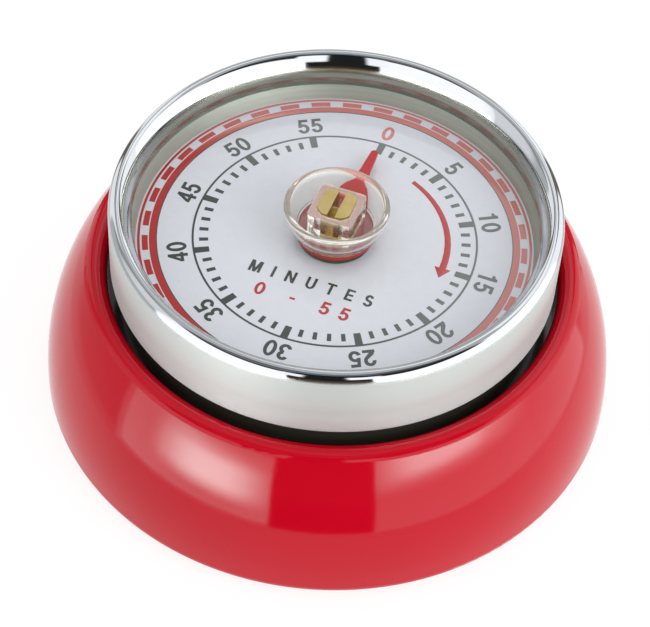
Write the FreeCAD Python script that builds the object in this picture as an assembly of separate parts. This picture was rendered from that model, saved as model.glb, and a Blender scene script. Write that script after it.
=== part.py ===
import FreeCAD, Part
import math
import os

# Wind-up kitchen timer with a magnet back. Millimetres, +Z up, the timer lies on its back:
# z = 0 is the face that rests on a table or a refrigerator door, and the knob's axis is +Z.
# At rest the pointer stands at 0, along +Y. The knob turns clockwise, seen from above.

# ---------------------------------------------------------------- driving dimensions
CASE_RADIUS = 35.0          # widest radius of the red body
CASE_HEIGHT = 30.0          # from the resting face to the top of the bezel
DIAL_TOP = 23.8             # the printed face
RUN = 0.05                  # radial running clearance of an arbor in its bearing

# body shell: one arc from the bottom corner up the flank, then the rolled lip
SHEET = 0.8                 # thickness of the pressed steel
SHELL_BOTTOM = 0.3
FLANK_RADIUS = 31.5
FLANK_CENTRE_Z = 1.8
LIP_ANGLE = 33.2            # where the flank runs into the rolled lip
LIP_RADIUS = 1.5
SKIRT_BOTTOM = 15.2
FLANGE_INNER = 31.9         # inner radius of the turned-in bottom flange

# bezel and what it holds
BEZEL_RADIUS = 26.7
BEZEL_BOTTOM = 20.5
BEZEL_WALL = 1.0
BEZEL_FOOT = 0.3            # radius of the bottom edge
SHOULDER = (1.5, 55.0)      # outer shoulder: radius, and the angle up to which it turns
CREST = (0.72, 138.0)       # tight turn over the top of the rim
BEAD = (5.4, 157.7)         # broad bead that falls towards the dial
CURL = (2.55, 220.0)        # the bead's end, which curls under
WELL_RADIUS = 23.6          # foot of the ring between the bead and the dial
WELL_FLARE = 0.7            # how much wider that ring is at its top
WELL_OUTER = 25.0
DIAL_THICKNESS = 0.5

# carrier: the black moulding that holds dial, bezel and movement
CARRIER_TOP = DIAL_TOP - DIAL_THICKNESS
CARRIER_PLATE = 1.4
NECK_OUTER = BEZEL_RADIUS - BEZEL_WALL
NECK_INNER = 24.2
LEDGE_RADIUS = 28.9
LEDGE_HEIGHT = 1.2
BOSS_CIRCLE = 27.6
BOSS_RADIUS = 2.4
BOSS_ANGLES = (20.0, 140.0, 260.0)

# rear cover, magnet and screws
COVER_RADIUS = 31.6
COVER_THICKNESS = 1.8
MAGNET_RADIUS = 12.0
MAGNET_THICKNESS = 3.0
KEEPER_THICKNESS = 0.8
SCREW_RADIUS = 1.1
SCREW_HEAD_RADIUS = 2.1
FRAME_SCREW_RADIUS = 0.8

# movement plates
BOTTOM_PLATE = (8.0, 9.0)
TOP_PLATE = (18.2, 19.2)
PLATE_RADIUS = 21.5
PILLAR_CIRCLE = 19.6
PILLAR_RADIUS = 1.6
PILLAR_ANGLES = (55.0, 172.0, 305.0)
STUD_RADIUS = 0.8           # threaded ends of the pillars, and the gong's screw
NUT_CORNER = 1.85
NUT_HEIGHT = 1.0

# main shaft with knob and pointer
SHAFT_RADIUS = 2.4
SHAFT_FLATS = 4.0           # across the flats beside the pointer
SHAFT_ENDS = 4.3            # across the short flats at the ends of the slot
SHAFT_TOP = 29.6
SLOT_WIDTH = 0.95
SLOT_DEPTH = 3.2
SHAFT_PIVOT_RADIUS = 1.2
UPPER_BUSH_RADIUS = 3.6
LOWER_BUSH_RADIUS = 2.2
MAINSPRING_LAYER = (13.9, 17.2)
SPRING_POST_RADIUS = 0.7
SPRING_POST_CIRCLE = 9.95
RATCHET_LAYER = (11.7, 12.5)
PAWL_PLACE = (8.4, 62.0)    # radius and angle of the pawl's rivet, and of its tip
PAWL_TIP_PLACE = (5.15, 95.0)
PAWL_TOP = 12.4
POINTER_BOTTOM = 25.0
POINTER_THICKNESS = 0.45
POINTER_REACH = 13.9
POINTER_HUB = 4.8
BUSH_RADIUS = 4.4
KNOB_TOP = 29.5
KNOB_TOP_RADIUS = 6.25
KNOB_BASE_RADIUS = 4.95
KNOB_WALL = 0.8
KNOB_BOSS = 5.6             # side of the square boss on the shaft
KNOB_GAP = 0.05             # between the knob and the shaft and pointer that it is pushed on to

# gear train: teeth, module and the layer (bottom, top) of each wheel and pinion
GREAT = dict(teeth=48, module=0.5, layer=(10.6, 11.6))
SECOND_PINION = dict(teeth=8, module=0.5, layer=(10.2, 12.2))
SECOND = dict(teeth=40, module=0.35, layer=(12.9, 13.5))
THIRD_PINION = dict(teeth=8, module=0.35, layer=(12.5, 14.1))
THIRD = dict(teeth=36, module=0.3, layer=(14.6, 15.2))
ESCAPE_PINION = dict(teeth=8, module=0.3, layer=(14.3, 16.0))
ESCAPE_TEETH = 16
ESCAPE_TIP = 4.2
ESCAPE_ROOT = 3.0
ESCAPE_LAYER = (16.4, 17.0)
ARBOR_RADIUS = 0.6
PIVOT_RADIUS = 0.4
ARBOR_BOTTOM = BOTTOM_PLATE[1] + 0.1
ARBOR_TOP = TOP_PLATE[0] - 0.1
SECOND_PLACE = (14.0, 200.0)        # radius and angle of the second arbor
THIRD_CIRCLE = 15.2
ESCAPE_CIRCLE = 15.6
PALLET_CIRCLE = 15.8
PALLET_DISTANCE = 6.2
PALLET_LAYER = (17.25, 17.75)
PALLET_PIN_RADIUS = 0.16
PALLET_SPAN = 3.5                   # tooth pitches between the two pins

# alarm: cam and release lever, hammer and gong
CAM_RADIUS = 6.5
CAM_LAYER = (9.3, 10.1)
CAM_NOTCH = (20.0, 84.0)            # wide enough for both ends of the knob's turn
LEVER_PLACE = (14.0, 30.0)
LEVER_STUD_RADIUS = 0.9
NOSE_RADIUS = 0.5
NOSE_ANGLE = 75.0
GONG_CENTRE = (4.0, -3.0)
GONG_RADIUS = 13.0
GONG_RIM = 4.4
GONG_TOP = 7.5
GONG_WALL = 0.6
HAMMER_PLACE = (17.5, 120.0)
HAMMER_HEAD_RADIUS = 1.5
HAMMER_SHANK_RADIUS = 0.5
HAMMER_REST_GAP = 0.8
ARM_LAYER = (5.4, 6.1)
HAMMER_CONTACT_ANGLE = 105.0        # where on the gong's rim the hammer strikes

UP = FreeCAD.Vector(0, 0, 1)
ORIGIN = FreeCAD.Vector(0, 0, 0)


# ---------------------------------------------------------------- basic shapes
def polar(radius, angle, z=0.0):
    """A point at a radius and an angle in degrees from +X."""
    turn = math.radians(angle)
    return FreeCAD.Vector(radius * math.cos(turn), radius * math.sin(turn), z)


def disc(radius, bottom, top, centre=ORIGIN):
    """A solid cylinder between two heights."""
    base = FreeCAD.Vector(centre.x, centre.y, bottom)
    return Part.makeCylinder(radius, top - bottom, base)


def tube(outer, inner, bottom, top, centre=ORIGIN):
    """A hollow cylinder between two heights."""
    return disc(outer, bottom, top, centre).cut(disc(inner, bottom, top, centre))


def bar(start, end, width, bottom, top):
    """A flat strip with straight ends, from one centre point to another."""
    run = end.sub(start)
    box = Part.makeBox(run.Length, width, top - bottom, FreeCAD.Vector(0, -width / 2, bottom))
    box.rotate(ORIGIN, UP, math.degrees(math.atan2(run.y, run.x)))
    box.translate(FreeCAD.Vector(start.x, start.y, 0))
    return box


def line(start, end):
    return Part.LineSegment(start, end).toShape()


def arc(start, through, end):
    return Part.Arc(start, through, end).toShape()


def upright(edges, layer):
    """A flat outline, drawn at the layer's bottom, raised to the layer's top."""
    return Part.Face(Part.Wire(edges)).extrude(FreeCAD.Vector(0, 0, layer[1] - layer[0]))


def polygon_prism(points, layer):
    return upright(Part.makePolygon(points + points[:1]).Edges, layer)


def section(start, *steps):
    """A closed face in the XZ plane. A step is a point (line to it) or a pair (arc through, to)."""
    def at(point):
        return FreeCAD.Vector(point[0], 0, point[1])

    edges = []
    here = start
    for step in steps + (start,):
        if isinstance(step[0], tuple):
            edges.append(arc(at(here), at(step[0]), at(step[1])))
            here = step[1]
        elif step != here:
            edges.append(line(at(here), at(step)))
            here = step
    return Part.Face(Part.Wire(edges))


def turned(start, *steps):
    """A body of revolution about the knob's axis."""
    return section(start, *steps).revolve(ORIGIN, UP, 360)


def on_arc(centre, radius, angle):
    """A point (r, z) on an arc of a section."""
    turn = math.radians(angle)
    return (centre[0] + radius * math.cos(turn), centre[1] + radius * math.sin(turn))


def save(name, shape):
    """One file for each node; like pieces, such as screws, share a node as separate solids."""
    if isinstance(shape, list):
        shape = Part.makeCompound(shape)
    shape.exportStep("parts/" + name + ".step")


# ---------------------------------------------------------------- case
def body_shell():
    """Pressed steel dome: turned-in bottom flange, arc flank, lip rolled down round the neck."""
    flank = (CASE_RADIUS - FLANK_RADIUS, FLANK_CENTRE_Z)
    lip_start = on_arc(flank, FLANK_RADIUS, LIP_ANGLE)
    lip = on_arc(lip_start, -LIP_RADIUS, LIP_ANGLE)
    corner = FLANK_CENTRE_Z - SHELL_BOTTOM
    foot = (CASE_RADIUS - corner, FLANK_CENTRE_Z)
    inside = FLANK_RADIUS - SHEET
    lip_inside = LIP_RADIUS - SHEET
    skirt_inner = lip[0] - LIP_RADIUS
    middle = LIP_ANGLE / 2
    over = (LIP_ANGLE + 180) / 2
    return turned(
        (FLANGE_INNER, SHELL_BOTTOM),
        (foot[0], SHELL_BOTTOM),
        (on_arc(foot, corner, -45), (CASE_RADIUS, FLANK_CENTRE_Z)),
        (on_arc(flank, FLANK_RADIUS, middle), lip_start),
        (on_arc(lip, LIP_RADIUS, over), (skirt_inner, lip[1])),
        (skirt_inner, SKIRT_BOTTOM),
        (skirt_inner + SHEET, SKIRT_BOTTOM),
        (skirt_inner + SHEET, lip[1]),
        (on_arc(lip, lip_inside, over), on_arc(lip, lip_inside, LIP_ANGLE)),
        (on_arc(flank, inside, middle), (CASE_RADIUS - SHEET, FLANK_CENTRE_Z)),
        (on_arc(foot, corner - SHEET, -45), (foot[0], SHELL_BOTTOM + SHEET)),
        (FLANGE_INNER, SHELL_BOTTOM + SHEET),
    )


def bead_arcs():
    """Centres of the rim's four tangent arcs, from the shoulder to the curl, with the crest at full height."""
    rounds = (SHOULDER, CREST, BEAD, CURL)
    centres = [(BEZEL_RADIUS - SHOULDER[0], 0.0)]
    for (radius, angle), (next_radius, _) in zip(rounds, rounds[1:]):
        centres.append(on_arc(centres[-1], radius - next_radius, angle))
    lift = CASE_HEIGHT - (centres[1][1] + CREST[0])
    return [(r, z + lift) for r, z in centres]


def bezel():
    """Chrome ring: straight wall, round shoulder and crest, and a broad bead that curls under over the dial."""
    inner_wall = BEZEL_RADIUS - BEZEL_WALL
    foot = (BEZEL_RADIUS - BEZEL_FOOT, BEZEL_BOTTOM + BEZEL_FOOT)
    steps = []
    begin = 0.0
    for centre, (radius, end) in zip(bead_arcs(), (SHOULDER, CREST, BEAD, CURL)):
        steps.append((on_arc(centre, radius, (begin + end) / 2), on_arc(centre, radius, end)))
        begin = end
    return turned(
        (inner_wall, BEZEL_BOTTOM),
        (foot[0], BEZEL_BOTTOM),
        (on_arc(foot, BEZEL_FOOT, -45), (BEZEL_RADIUS, foot[1])),
        (BEZEL_RADIUS, bead_arcs()[0][1]),
        *steps,
        (inner_wall, steps[-1][1][1]),
    )


def dial_well_ring():
    """Flared steel ring that stands on the dial, under the bead, and holds the dial down."""
    top = on_arc(bead_arcs()[3], *CURL)[1]
    return turned(
        (WELL_RADIUS, DIAL_TOP),
        (WELL_OUTER, DIAL_TOP),
        (WELL_OUTER, top),
        (WELL_RADIUS + WELL_FLARE, top),
    )


def dial():
    return tube(NECK_OUTER, SHAFT_RADIUS + 0.6, CARRIER_TOP, DIAL_TOP)


def carrier():
    """Black moulding: plate under the dial, neck inside the bezel, ledge, bosses and standoffs."""
    plate_bottom = CARRIER_TOP - CARRIER_PLATE
    ledge_bottom = SKIRT_BOTTOM - LEDGE_HEIGHT
    shape = tube(NECK_OUTER, 4.0, plate_bottom, CARRIER_TOP)
    shape = shape.fuse(tube(NECK_OUTER, NECK_INNER, ledge_bottom, plate_bottom))
    shape = shape.fuse(tube(LEDGE_RADIUS, NECK_INNER, ledge_bottom, SKIRT_BOTTOM))
    for angle in BOSS_ANGLES:
        shape = shape.fuse(disc(BOSS_RADIUS, COVER_THICKNESS, ledge_bottom, polar(BOSS_CIRCLE, angle)))
    for angle in PILLAR_ANGLES:
        standoff = disc(PILLAR_RADIUS + 1.0, TOP_PLATE[1], plate_bottom, polar(PILLAR_CIRCLE, angle))
        shape = shape.fuse(standoff)
    shape = shape.removeSplitter()
    for hole in cover_screw_holes() + frame_screw_holes():
        shape = shape.cut(hole)
    return shape


def rear_cover():
    """Black moulded disc with a locating rim and a pocket for the magnet."""
    pocket_wall = 1.2
    pocket_top = MAGNET_THICKNESS + KEEPER_THICKNESS
    shape = tube(COVER_RADIUS, MAGNET_RADIUS, 0.0, COVER_THICKNESS)
    shape = shape.fuse(tube(FLANGE_INNER - 0.7, FLANGE_INNER - 1.7, COVER_THICKNESS, 3.2))
    shape = shape.fuse(tube(MAGNET_RADIUS + pocket_wall, MAGNET_RADIUS, COVER_THICKNESS, pocket_top))
    shape = shape.removeSplitter()
    for hole in cover_screw_holes():
        shape = shape.cut(hole)
    return shape


def magnet():
    return disc(MAGNET_RADIUS, 0.0, MAGNET_THICKNESS)


def magnet_keeper():
    return disc(MAGNET_RADIUS, MAGNET_THICKNESS, MAGNET_THICKNESS + KEEPER_THICKNESS)


def flat_head(centre, face, tip, head_radius, shank_radius):
    """The plain outside of a flat-headed screw, from its head's face to its tip."""
    way = FreeCAD.Vector(0, 0, 1 if tip > face else -1)
    base = FreeCAD.Vector(centre.x, centre.y, face)
    head = Part.makeCone(head_radius, shank_radius, head_radius - shank_radius, base, way)
    shank = Part.makeCylinder(shank_radius, abs(tip - face), base, way)
    return head.fuse(shank).removeSplitter()


def cross_slot(centre, face, tip, head_radius):
    """The cross in a screw's head, as a solid to cut away."""
    depth = 0.6
    width = 0.35
    length = head_radius * 1.1
    bottom = face if tip > face else face - depth
    blade = Part.makeBox(length, width, depth, FreeCAD.Vector(-length / 2, -width / 2, bottom))
    other = blade.copy()
    other.rotate(ORIGIN, UP, 90)
    cross = blade.fuse(other)
    cross.translate(centre)
    return cross


COVER_SCREW = dict(face=0.2, tip=9.0, head_radius=SCREW_HEAD_RADIUS)
FRAME_SCREW = dict(face=CARRIER_TOP - 0.1, tip=15.0, head_radius=1.7)


def cover_screws():
    solids = []
    for angle in BOSS_ANGLES:
        centre = polar(BOSS_CIRCLE, angle)
        blank = flat_head(centre, shank_radius=SCREW_RADIUS, **COVER_SCREW)
        solids.append(blank.cut(cross_slot(centre, **COVER_SCREW)))
    return solids


def frame_screws():
    """Screws from under the dial down through the carrier into the pillars."""
    solids = []
    for angle in PILLAR_ANGLES:
        centre = polar(PILLAR_CIRCLE, angle)
        blank = flat_head(centre, shank_radius=FRAME_SCREW_RADIUS, **FRAME_SCREW)
        solids.append(blank.cut(cross_slot(centre, **FRAME_SCREW)))
    return solids


def cover_screw_holes():
    """Countersunk holes that the cover screws fill, open to the rear face."""
    holes = []
    for angle in BOSS_ANGLES:
        centre = polar(BOSS_CIRCLE, angle)
        mouth = disc(SCREW_HEAD_RADIUS, 0.0, COVER_SCREW["face"], centre)
        holes.append(flat_head(centre, shank_radius=SCREW_RADIUS, **COVER_SCREW).fuse(mouth))
    return holes


def frame_screw_holes():
    holes = []
    for angle in PILLAR_ANGLES:
        centre = polar(PILLAR_CIRCLE, angle)
        mouth = disc(FRAME_SCREW["head_radius"], FRAME_SCREW["face"], CARRIER_TOP, centre)
        holes.append(flat_head(centre, shank_radius=FRAME_SCREW_RADIUS, **FRAME_SCREW).fuse(mouth))
    return holes


# ---------------------------------------------------------------- places of the arbors
def angle_between(first, second, distance):
    """Angle at the axis between two radii whose ends are a given distance apart."""
    cosine = (first ** 2 + second ** 2 - distance ** 2) / (2 * first * second)
    return math.degrees(math.acos(cosine))


def centre_distance(wheel, pinion):
    return (wheel["teeth"] * wheel["module"] + pinion["teeth"] * pinion["module"]) / 2


def direction(start, end):
    """Angle in degrees of the line from one point to another."""
    return math.degrees(math.atan2(end.y - start.y, end.x - start.x))


third_angle = SECOND_PLACE[1] + angle_between(
    SECOND_PLACE[0], THIRD_CIRCLE, centre_distance(SECOND, THIRD_PINION))
escape_angle = third_angle + angle_between(
    THIRD_CIRCLE, ESCAPE_CIRCLE, centre_distance(THIRD, ESCAPE_PINION))
pallet_angle = escape_angle + angle_between(ESCAPE_CIRCLE, PALLET_CIRCLE, PALLET_DISTANCE)

SECOND_AT = polar(*SECOND_PLACE)
THIRD_AT = polar(THIRD_CIRCLE, third_angle)
ESCAPE_AT = polar(ESCAPE_CIRCLE, escape_angle)
PALLET_AT = polar(PALLET_CIRCLE, pallet_angle)
HAMMER_AT = polar(*HAMMER_PLACE)
LEVER_AT = polar(*LEVER_PLACE)
GONG_AT = FreeCAD.Vector(GONG_CENTRE[0], GONG_CENTRE[1], 0)
MAINSPRING_POST_AT = polar(SPRING_POST_CIRCLE, 0.0)
PAWL_AT = polar(*PAWL_PLACE)


# ---------------------------------------------------------------- movement frame
def bearings():
    """Centres of the pivots that run in both plates."""
    return [SECOND_AT, THIRD_AT, ESCAPE_AT, PALLET_AT, HAMMER_AT]


def plate(layer):
    """Round steel plate with pillar holes and pivot holes."""
    shape = disc(PLATE_RADIUS, *layer)
    for angle in PILLAR_ANGLES:
        shape = shape.cut(disc(STUD_RADIUS, *layer, polar(PILLAR_CIRCLE, angle)))
    for centre in bearings():
        shape = shape.cut(disc(PIVOT_RADIUS + RUN, *layer, centre))
    return shape


def top_plate():
    shape = plate(TOP_PLATE).cut(disc(UPPER_BUSH_RADIUS, *TOP_PLATE))
    return shape.cut(disc(SPRING_POST_RADIUS, *TOP_PLATE, MAINSPRING_POST_AT))


def bottom_plate():
    shape = plate(BOTTOM_PLATE).cut(disc(LOWER_BUSH_RADIUS, *BOTTOM_PLATE))
    shape = shape.cut(disc(STUD_RADIUS, *BOTTOM_PLATE, GONG_AT))
    return shape.cut(disc(LEVER_STUD_RADIUS, *BOTTOM_PLATE, LEVER_AT))


def pillars():
    solids = []
    for angle in PILLAR_ANGLES:
        centre = polar(PILLAR_CIRCLE, angle)
        post = disc(PILLAR_RADIUS, BOTTOM_PLATE[1], TOP_PLATE[0], centre)
        stud = disc(STUD_RADIUS, BOTTOM_PLATE[0] - NUT_HEIGHT - 0.2, BOTTOM_PLATE[1], centre)
        bore = disc(FRAME_SCREW_RADIUS, FRAME_SCREW["tip"], TOP_PLATE[0], centre)
        solids.append(post.fuse(stud).removeSplitter().cut(bore))
    return solids


def pillar_nuts():
    """Hexagon nuts on the pillars' lower studs."""
    layer = (BOTTOM_PLATE[0] - NUT_HEIGHT, BOTTOM_PLATE[0])
    solids = []
    for angle in PILLAR_ANGLES:
        corners = [polar(NUT_CORNER, 60 * k, layer[0]) for k in range(6)]
        nut = polygon_prism(corners, layer).cut(disc(STUD_RADIUS, *layer))
        nut.translate(polar(PILLAR_CIRCLE, angle))
        solids.append(nut)
    return solids


def shaft_bushes():
    """Brass bushes pressed into the plates: flanged above, plain below."""
    flange = (TOP_PLATE[1], TOP_PLATE[1] + 0.6)
    above = tube(UPPER_BUSH_RADIUS, SHAFT_RADIUS + RUN, *TOP_PLATE)
    above = above.fuse(tube(UPPER_BUSH_RADIUS + 0.6, SHAFT_RADIUS + RUN, *flange))
    below = tube(LOWER_BUSH_RADIUS, SHAFT_PIVOT_RADIUS + RUN, BOTTOM_PLATE[0] - 0.3, BOTTOM_PLATE[1])
    return [above.removeSplitter(), below]


def mainspring_post():
    """Steel pin in the top plate that the mainspring's outer end hooks on."""
    return disc(SPRING_POST_RADIUS, MAINSPRING_LAYER[0] - 0.3, TOP_PLATE[1], MAINSPRING_POST_AT)


def spiral(first_radius, pitch, half_turns, thickness, layer):
    """A flat ribbon on edge: half turns of growing radius about two near centres."""
    def chain(offset):
        edges = []
        for k in range(half_turns):
            radius = first_radius + k * pitch / 2 + offset
            side = 1 if k % 2 == 0 else -1
            centre = -side * pitch / 4
            start = FreeCAD.Vector(centre + side * radius, 0, layer[0])
            through = FreeCAD.Vector(centre, side * radius, layer[0])
            end = FreeCAD.Vector(centre - side * radius, 0, layer[0])
            edges.append(arc(start, through, end))
        return edges

    outer = chain(thickness / 2)
    inner = chain(-thickness / 2)
    inner_end = line(outer[0].Vertexes[0].Point, inner[0].Vertexes[0].Point)
    outer_end = line(outer[-1].Vertexes[-1].Point, inner[-1].Vertexes[-1].Point)
    return upright(Part.__sortEdges__(outer + inner + [inner_end, outer_end]), layer)


def mainspring():
    """Tempered steel ribbon that drives the train, as it lies when run down."""
    return spiral(first_radius=3.0, pitch=1.0, half_turns=12, thickness=0.35, layer=MAINSPRING_LAYER)


# ---------------------------------------------------------------- wheels and pinions
def toothed(spec, share, addendum, dedendum):
    """Clock wheel or pinion: radial flanks and rounded tips. A tooth points along +X.

    share is the part of the pitch that a tooth fills; addendum and dedendum are in modules.
    """
    teeth = spec["teeth"]
    module = spec["module"]
    bottom = spec["layer"][0]
    pitch_radius = teeth * module / 2
    tip = pitch_radius + addendum * module
    root = pitch_radius - dedendum * module
    half = share * 180.0 / teeth
    edges = []
    for k in range(teeth):
        middle = 360.0 * k / teeth
        following = middle + 360.0 / teeth - half
        low = polar(root, middle - half, bottom)
        start = polar(pitch_radius, middle - half, bottom)
        end = polar(pitch_radius, middle + half, bottom)
        high = polar(root, middle + half, bottom)
        between = polar(root, middle + 180.0 / teeth, bottom)
        edges.append(line(low, start))
        edges.append(arc(start, polar(tip, middle, bottom), end))
        edges.append(line(end, high))
        edges.append(arc(high, between, polar(root, following, bottom)))
    return upright(edges, spec["layer"])


def wheel(spec, bore, at, tooth_angle, windows=0):
    """A brass wheel. One tooth points at tooth_angle; windows are round holes that save weight."""
    shape = toothed(spec, share=0.46, addendum=0.85, dedendum=1.1).cut(disc(bore, *spec["layer"]))
    hub_edge = bore + 0.8
    rim_edge = spec["teeth"] * spec["module"] / 2 - 1.2
    ring = (hub_edge + rim_edge) / 2
    size = (rim_edge - hub_edge) / 2 * 0.8
    for k in range(windows):
        shape = shape.cut(disc(size, *spec["layer"], polar(ring, 360.0 * (k + 0.5) / windows)))
    shape.rotate(ORIGIN, UP, tooth_angle)
    shape.translate(at)
    return shape


def arbor(radius, at, pivot_bottom=BOTTOM_PLATE[0] - 0.1):
    """A steel arbor between the plates, with a thinner pivot at each end."""
    shape = disc(radius, ARBOR_BOTTOM, ARBOR_TOP, at)
    return shape.fuse(disc(PIVOT_RADIUS, pivot_bottom, TOP_PLATE[1] + 0.1, at)).removeSplitter()


def pinion(spec, at, space_angle):
    """A steel pinion in one piece with its arbor and pivots. A space points at space_angle."""
    shape = toothed(spec, share=0.33, addendum=0.55, dedendum=1.3)
    shape.rotate(ORIGIN, UP, space_angle + 180.0 / spec["teeth"])
    shape.translate(at)
    return shape.fuse(arbor(ARBOR_RADIUS, at)).removeSplitter()


def second_arbor():
    return pinion(SECOND_PINION, SECOND_AT, SECOND_PLACE[1] + 180)


def second_wheel():
    towards = direction(SECOND_AT, THIRD_AT)
    return wheel(SECOND, ARBOR_RADIUS, SECOND_AT, towards, 5)


def third_arbor():
    towards = direction(THIRD_AT, SECOND_AT)
    return pinion(THIRD_PINION, THIRD_AT, towards)


def third_wheel():
    towards = direction(THIRD_AT, ESCAPE_AT)
    return wheel(THIRD, ARBOR_RADIUS, THIRD_AT, towards, 4)


def escape_arbor():
    towards = direction(ESCAPE_AT, THIRD_AT)
    return pinion(ESCAPE_PINION, ESCAPE_AT, towards)


def escape_wheel():
    """Pointed teeth, a quarter pitch off each pallet pin at rest."""
    pitch = 360.0 / ESCAPE_TEETH
    root_half = 0.3 * pitch
    tip_half = 0.07 * pitch
    bottom = ESCAPE_LAYER[0]
    points = []
    for k in range(ESCAPE_TEETH):
        middle = k * pitch
        points.append(polar(ESCAPE_ROOT, middle - root_half, bottom))
        points.append(polar(ESCAPE_TIP, middle - tip_half, bottom))
        points.append(polar(ESCAPE_TIP, middle + tip_half, bottom))
        points.append(polar(ESCAPE_ROOT, middle + root_half, bottom))
    shape = polygon_prism(points, ESCAPE_LAYER).cut(disc(ARBOR_RADIUS, *ESCAPE_LAYER))
    pin_angle = direction(ESCAPE_AT, PALLET_AT) + PALLET_SPAN / 2 * pitch
    shape.rotate(ORIGIN, UP, pin_angle + pitch / 4)
    shape.translate(ESCAPE_AT)
    return shape


# ---------------------------------------------------------------- pallet
def pin_places():
    """Centres of the two pallet pins, just outside the escape wheel's teeth."""
    axis = direction(ESCAPE_AT, PALLET_AT)
    half_span = PALLET_SPAN / 2 * 360.0 / ESCAPE_TEETH
    radius = ESCAPE_TIP + PALLET_PIN_RADIUS + 0.1
    return [ESCAPE_AT.add(polar(radius, axis + side * half_span)) for side in (-1, 1)]


def pallet_arbor():
    return arbor(ARBOR_RADIUS, PALLET_AT)


def pallet_lever():
    """Forked steel lever above the escape wheel, one arm for each pin."""
    layer = PALLET_LAYER
    shape = disc(1.3, *layer, PALLET_AT)
    for place in pin_places():
        shape = shape.fuse(bar(PALLET_AT, place, 0.8, *layer)).fuse(disc(0.45, *layer, place))
    shape = shape.removeSplitter()
    for cutter in pallet_pins() + [pallet_arbor()]:
        shape = shape.cut(cutter)
    return shape


def pallet_pins():
    """Two fine steel pins that hang from the lever beside the escape wheel."""
    return [disc(PALLET_PIN_RADIUS, ESCAPE_LAYER[0] - 0.1, PALLET_LAYER[1], place) for place in pin_places()]


def inertia_ring():
    """Brass rim on a crossbar, which sets how fast the pallet rocks."""
    layer = (12.1, 13.1)
    shape = tube(4.8, 3.8, *layer).fuse(disc(1.3, *layer))
    arm = polar(4.2, pallet_angle + 90)
    shape = shape.fuse(bar(arm.negative(), arm, 0.9, *layer)).removeSplitter()
    shape.translate(PALLET_AT)
    return shape.cut(pallet_arbor())


# ---------------------------------------------------------------- main shaft and what it carries
def flatted_head(bottom, top, gap=0.0):
    """The shaft's head, or a hole round it with a gap: round, with two wide and two narrow flats."""
    flats = SHAFT_FLATS + 2 * gap
    ends = SHAFT_ENDS + 2 * gap
    between_flats = Part.makeBox(flats, ends, top - bottom, FreeCAD.Vector(-flats / 2, -ends / 2, bottom))
    return disc(SHAFT_RADIUS + gap, bottom, top).common(between_flats)


def main_shaft():
    """Brass: slotted and flatted head, round body, lower pivot."""
    shape = disc(SHAFT_RADIUS, ARBOR_BOTTOM, POINTER_BOTTOM)
    shape = shape.fuse(flatted_head(POINTER_BOTTOM, SHAFT_TOP))
    shape = shape.fuse(disc(SHAFT_PIVOT_RADIUS, BOTTOM_PLATE[0] - 0.2, ARBOR_BOTTOM)).removeSplitter()
    slot_floor = SHAFT_TOP - SLOT_DEPTH
    corner = FreeCAD.Vector(-SLOT_WIDTH / 2, -SHAFT_RADIUS - 1, slot_floor)
    return shape.cut(Part.makeBox(SLOT_WIDTH, 2 * SHAFT_RADIUS + 2, SLOT_DEPTH + 1, corner))


def pointer_bush():
    """Brass collar that lifts the pointer off the dial."""
    return tube(BUSH_RADIUS, SHAFT_RADIUS, DIAL_TOP + 0.2, POINTER_BOTTOM)


def pointer():
    """Red steel: round hub, a broad root that flares out of it, slim arm, round tip."""
    layer = (POINTER_BOTTOM, POINTER_BOTTOM + POINTER_THICKNESS)
    bottom = layer[0]
    hub = polar(POINTER_HUB, 56.0, bottom)
    wing = FreeCAD.Vector(1.5, 8.0, bottom)
    bend = FreeCAD.Vector(0.85, 9.3, bottom)
    neck = FreeCAD.Vector(0.6, 11.0, bottom)
    shoulder = FreeCAD.Vector(0.45, POINTER_REACH - 0.45, bottom)
    tip = FreeCAD.Vector(0, POINTER_REACH, bottom)
    behind = FreeCAD.Vector(0, -POINTER_HUB, bottom)

    def mirrored(point):
        return FreeCAD.Vector(-point.x, point.y, point.z)

    edges = [
        line(hub, wing),
        arc(wing, bend, neck),
        line(neck, shoulder),
        arc(shoulder, tip, mirrored(shoulder)),
        line(mirrored(shoulder), mirrored(neck)),
        arc(mirrored(neck), mirrored(bend), mirrored(wing)),
        line(mirrored(wing), mirrored(hub)),
        arc(mirrored(hub), behind, hub),
    ]
    return upright(edges, layer).cut(flatted_head(*layer))


def knob():
    """Clear acrylic cup: flared wall with a round rim, floor, and a square boss on the shaft."""
    bottom = POINTER_BOTTOM + POINTER_THICKNESS + KNOB_GAP
    floor = bottom + 0.6
    edge = 0.25
    foot = (KNOB_BASE_RADIUS - edge, bottom + edge)
    rim = (KNOB_TOP_RADIUS - KNOB_WALL / 2, KNOB_TOP - KNOB_WALL / 2)
    cup = turned(
        (0.0, bottom),
        (foot[0], bottom),
        (on_arc(foot, edge, -45), (KNOB_BASE_RADIUS, foot[1])),
        ((KNOB_TOP_RADIUS - 0.4, bottom + 1.9), (KNOB_TOP_RADIUS, rim[1])),
        ((rim[0], KNOB_TOP), (KNOB_TOP_RADIUS - KNOB_WALL, rim[1])),
        ((KNOB_BASE_RADIUS + 0.25, bottom + 1.9), (KNOB_BASE_RADIUS - 0.6, floor)),
        (0.0, floor),
    )
    corner = FreeCAD.Vector(-KNOB_BOSS / 2, -KNOB_BOSS / 2, bottom + 0.1)
    boss = Part.makeBox(KNOB_BOSS, KNOB_BOSS, KNOB_TOP - bottom - 0.3, corner)
    corners = [edge for edge in boss.Edges if abs(edge.tangentAt(edge.FirstParameter).z) > 0.9]
    shape = cup.fuse(boss.makeFillet(KNOB_BOSS / 10, corners)).removeSplitter()
    return shape.cut(flatted_head(bottom, SHAFT_TOP, KNOB_GAP))


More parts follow.
